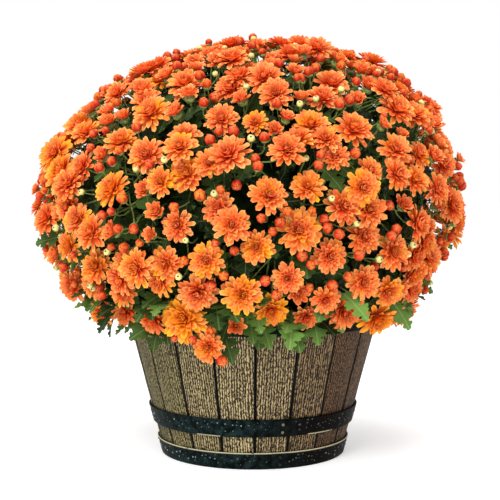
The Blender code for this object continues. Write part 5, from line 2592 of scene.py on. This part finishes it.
    def add_rivet(self, bm: BMesh, spot: Vector, paleness: float) -> None:
        """Adds a rivet's domed head, which faces away from the axis.

        Args:
            bm: The hoop's bmesh.
            spot: Where the rivet goes in.
            paleness: How pale its top is painted: a painted highlight.
        """
        turn = facing(Vector((spot.x, spot.y, 0.0)).normalized())
        wear_and_highlight = bm.verts.layers.float["wear_and_highlight"]
        rings = []
        for share, lift in ((1.0, -0.9), (1.0, 0.15), (0.86, 0.55), (0.5, 0.9)):
            ring = []
            for k in range(self.rivet_sides):
                angle = math.tau * k / self.rivet_sides
                flat = level(angle) * self.rivet_radius * share
                vertex = bm.verts.new(spot + turn @ (flat + UP * self.rivet_height * lift))
                # The dome's top is painted pale: a painted highlight.
                vertex[wear_and_highlight] = paleness * lift / 0.9
                ring.append(vertex)
            rings.append(ring)
        skin(bm, rings)

    @staticmethod
    def drop(sides: int = 7) -> Object:
        """Builds a drop of unit radius, which sits on its flat side and faces +Z.

        Args:
            sides: How many sides it has.

        Returns:
            The drop as an object to be copied.
        """
        bm = bmesh.new()
        rings = lathe(bm, ((1.0, -0.25), (0.92, 0.22), (0.55, 0.52)), sides)
        top = bm.verts.new((0.0, 0.0, 0.62))
        skin(bm, rings, capped=False)
        for k in range(sides):
            bm.faces.new((rings[-1][k], rings[-1][(k + 1) % sides], top))
        bm.faces.new(reversed(rings[0]))
        return bpy.data.objects.new("drop", mesh_of(bm, "drop", ALL_SMOOTH))

    @staticmethod
    def tree() -> FormGraph:
        """Sets up the tree that wets a hoop: it scatters drops over the faces marked wet.

        Returns:
            The tree.
        """
        g = FormGraph("wet_hoop")
        start = g.start()
        drop = g.taken("Drop", "Object")
        iron, water = g.taken("Iron", "Material"), g.taken("Water", "Material")
        density, spacing, seed = g.taken("Density"), g.taken("Spacing"), g.taken("Seed", "Int")
        least, most = g.taken("Least Radius"), g.taken("Most Radius")
        scattered = g.node(
            "GeometryNodeDistributePointsOnFaces",
            {"distribute_method": "POISSON"},
            {
                "Mesh": start,
                "Selection": g.maths("GREATER_THAN", g.stored("wet"), 0.6),
                "Distance Min": spacing,
                "Density Max": density,
                "Seed": seed,
            },
        )
        size = least + (most - least) * (g.chance(0.0, 1.0, seed + 1) ** 2.0)
        shape = g.node("GeometryNodeObjectInfo", inputs={"Object": drop}, output="Geometry")
        scale = g.joined(size * g.chance(0.85, 1.5, seed + 2), size, size * 0.9)
        copies = g.copies(scattered, shape, scattered.sibling("Rotation"), scale)
        g.end(g.together(g.dressed(start, iron), g.dressed(copies, water)))
        return g

    def build(self, iron: Material, water: Material) -> None:
        """Makes a piece of each hoop.

        Args:
            iron: The hoops' material.
            water: The drops' material.
        """
        drop, tree = self.drop(), self.tree()
        for index, shape in enumerate(self.shapes):
            values = {
                "Drop": drop,
                "Iron": iron,
                "Water": water,
                "Density": self.drops_each_metre,
                "Spacing": self.drop_spacing,
                "Seed": 10 * index,
                "Least Radius": self.drop_radius[0],
                "Most Radius": self.drop_radius[1],
            }
            mesh = tree.grown(f"wet_{shape.node}", self.band(shape), values)
            keep_only(mesh, ("wear_and_highlight",))
            add_piece(f"wet_{shape.node}", mesh, [shape.node])
        bpy.data.objects.remove(drop)


@dataclass
class Soil:
    """Crumbly soil with the hole that the crown stands in."""

    cask: Cask
    top: float = 0.164
    crown: float = 0.006
    hole_radius: float = 0.0135
    hole_floor: float = 0.120
    foot: float = 0.0143
    sides: int = 96
    rings: int = 16
    crumbs: float = 0.0022

    def mesh(self) -> Mesh:
        """Builds the soil as one closed body.

        Returns:
            The mesh.
        """
        cask = self.cask
        reach, low = cask.inside(self.top), cask.inside(self.foot)
        profile = [(self.hole_radius, self.hole_floor), (self.hole_radius, self.top + self.crown)]
        for ring in range(1, self.rings):
            share = ring / self.rings
            radius = self.hole_radius + (reach - self.hole_radius) * share
            profile.append((radius, self.top + self.crown * (1 - share**2)))
        profile += [(reach, self.top), (low, self.foot)]
        bm = bmesh.new()
        rings = lathe(bm, profile, self.sides)
        for ring in rings[2:-2]:
            for point in ring:
                point.co.z += self.crumbs * noise.noise(point.co * 190.0) - 0.0005
        skin(bm, rings, turned=True)
        return mesh_of(bm, "soil", HEWN_SHARP)

    def build(self, finish: Material) -> None:
        """Makes the soil's piece.

        Args:
            finish: Its material.
        """
        mesh = self.mesh()
        mesh.materials.append(finish)
        add_piece("crumbly_soil", mesh, ["soil"])


# Studio

@dataclass(frozen=True)
class Studio:
    """A pale floor, soft light and the camera of the photograph."""

    eye: Vector = Vector((-0.0037, -1.480, 0.332))
    down: float = math.radians(2.88)
    lens: float = 82.8
    sensor: float = 36.0
    floor_size: float = 60.0
    floor_sink: float = 0.0002
    floor_colour: Colour = (0.90, 0.90, 0.90)
    floor_glow: float = 0.42
    sky_light: float = 0.72

    def build(self) -> None:
        """Makes the camera, the floor, the lights and the sky."""
        camera = shown("camera", bpy.data.cameras.new("camera"))
        camera.location = self.eye
        camera.rotation_euler = (math.pi / 2 - self.down, 0.0, 0.0)
        camera.data.lens = self.lens
        camera.data.sensor_width = self.sensor
        bpy.context.scene.camera = camera
        self.floor()
        self.light("key", Vector((-0.7, -1.85, 1.8)), 1.0, 41.5)
        self.light("top", Vector((0.0, 0.1, 2.2)), 1.4, 24.0)
        self.sky()
        bpy.context.scene.view_settings.view_transform = "Standard"

    def sky(self) -> None:
        """A sky that the camera sees as white, and that lights the plant less."""
        world = bpy.data.worlds.new("studio")
        bpy.context.scene.world = world
        world.use_nodes = True
        g = Graph(world.node_tree)
        seen = g.node("ShaderNodeLightPath", output="Is Camera Ray")
        background = world.node_tree.nodes["Background"].inputs
        background["Color"].default_value = (1.0, 1.0, 1.0, 1.0)
        strength = self.sky_light + (1.0 - self.sky_light) * seen
        world.node_tree.links.new(strength.socket, background["Strength"])

    def floor(self) -> None:
        """A wide pale floor under the barrel."""
        bm = bmesh.new()
        bmesh.ops.create_grid(bm, x_segments=1, y_segments=1, size=self.floor_size / 2)
        floor = shown("floor", mesh_of(bm, "floor"))
        floor.data.transform(Matrix.Translation((0.0, 0.0, -self.floor_sink)))
        g = FinishGraph("floor")
        glow = {"emission_color": self.floor_colour, "emission_strength": self.floor_glow}
        floor.data.materials.append(g.done(base_color=self.floor_colour, roughness=0.9, **glow))

    @staticmethod
    def light(name: str, place: Vector, size: float, power: float) -> None:
        """A square soft box that faces the plant.

        Args:
            name: The light's name.
            place: Where it hangs.
            size: Length of its sides.
            power: Its power in watts.
        """
        lamp = bpy.data.lights.new(name, "AREA")
        lamp.size = size
        lamp.energy = power
        holder = shown(name, lamp)
        holder.location = place
        holder.rotation_mode = "QUATERNION"
        holder.rotation_quaternion = (Vector((0.0, 0.0, 0.3)) - place).to_track_quat("-Z", "Y")


def main() -> None:
    """Loads the frame and builds the pieces round it."""
    logging.basicConfig(level=logging.INFO, format="%(name)s: %(message)s")
    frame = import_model()
    Studio().build()
    layout = Layout(Mound())
    packed_foliage = frame["nodes"]["foliage"]
    foliage = Foliage(layout, packed_foliage)
    stem = STEM_FINISH.material()
    green = {"leaf": LeafFinish().material(), "stem": stem, "shade": SHADE_FINISH.material()}
    foliage.build(green)
    layout.fill_gaps()
    heads = {"stem": stem, **{name: finish.material() for name, finish in PETAL_FINISHES.items()}}
    SprayMaker(layout).build(heads)
    LOG.info("%d flower heads", len(layout.heads))
    cask = Cask()
    Staves(cask).build(OakFinish().material())
    Hoops(cask).build(IronFinish().material(), WaterFinish().material())
    Soil(cask).build(SoilFinish().material())
    board = frame["nodes"]["barrel_head"].data.materials
    finish = BOARD_FINISH.material()
    for slot in range(len(board)):
        board[slot] = finish


if __name__ == "__main__":
    main()
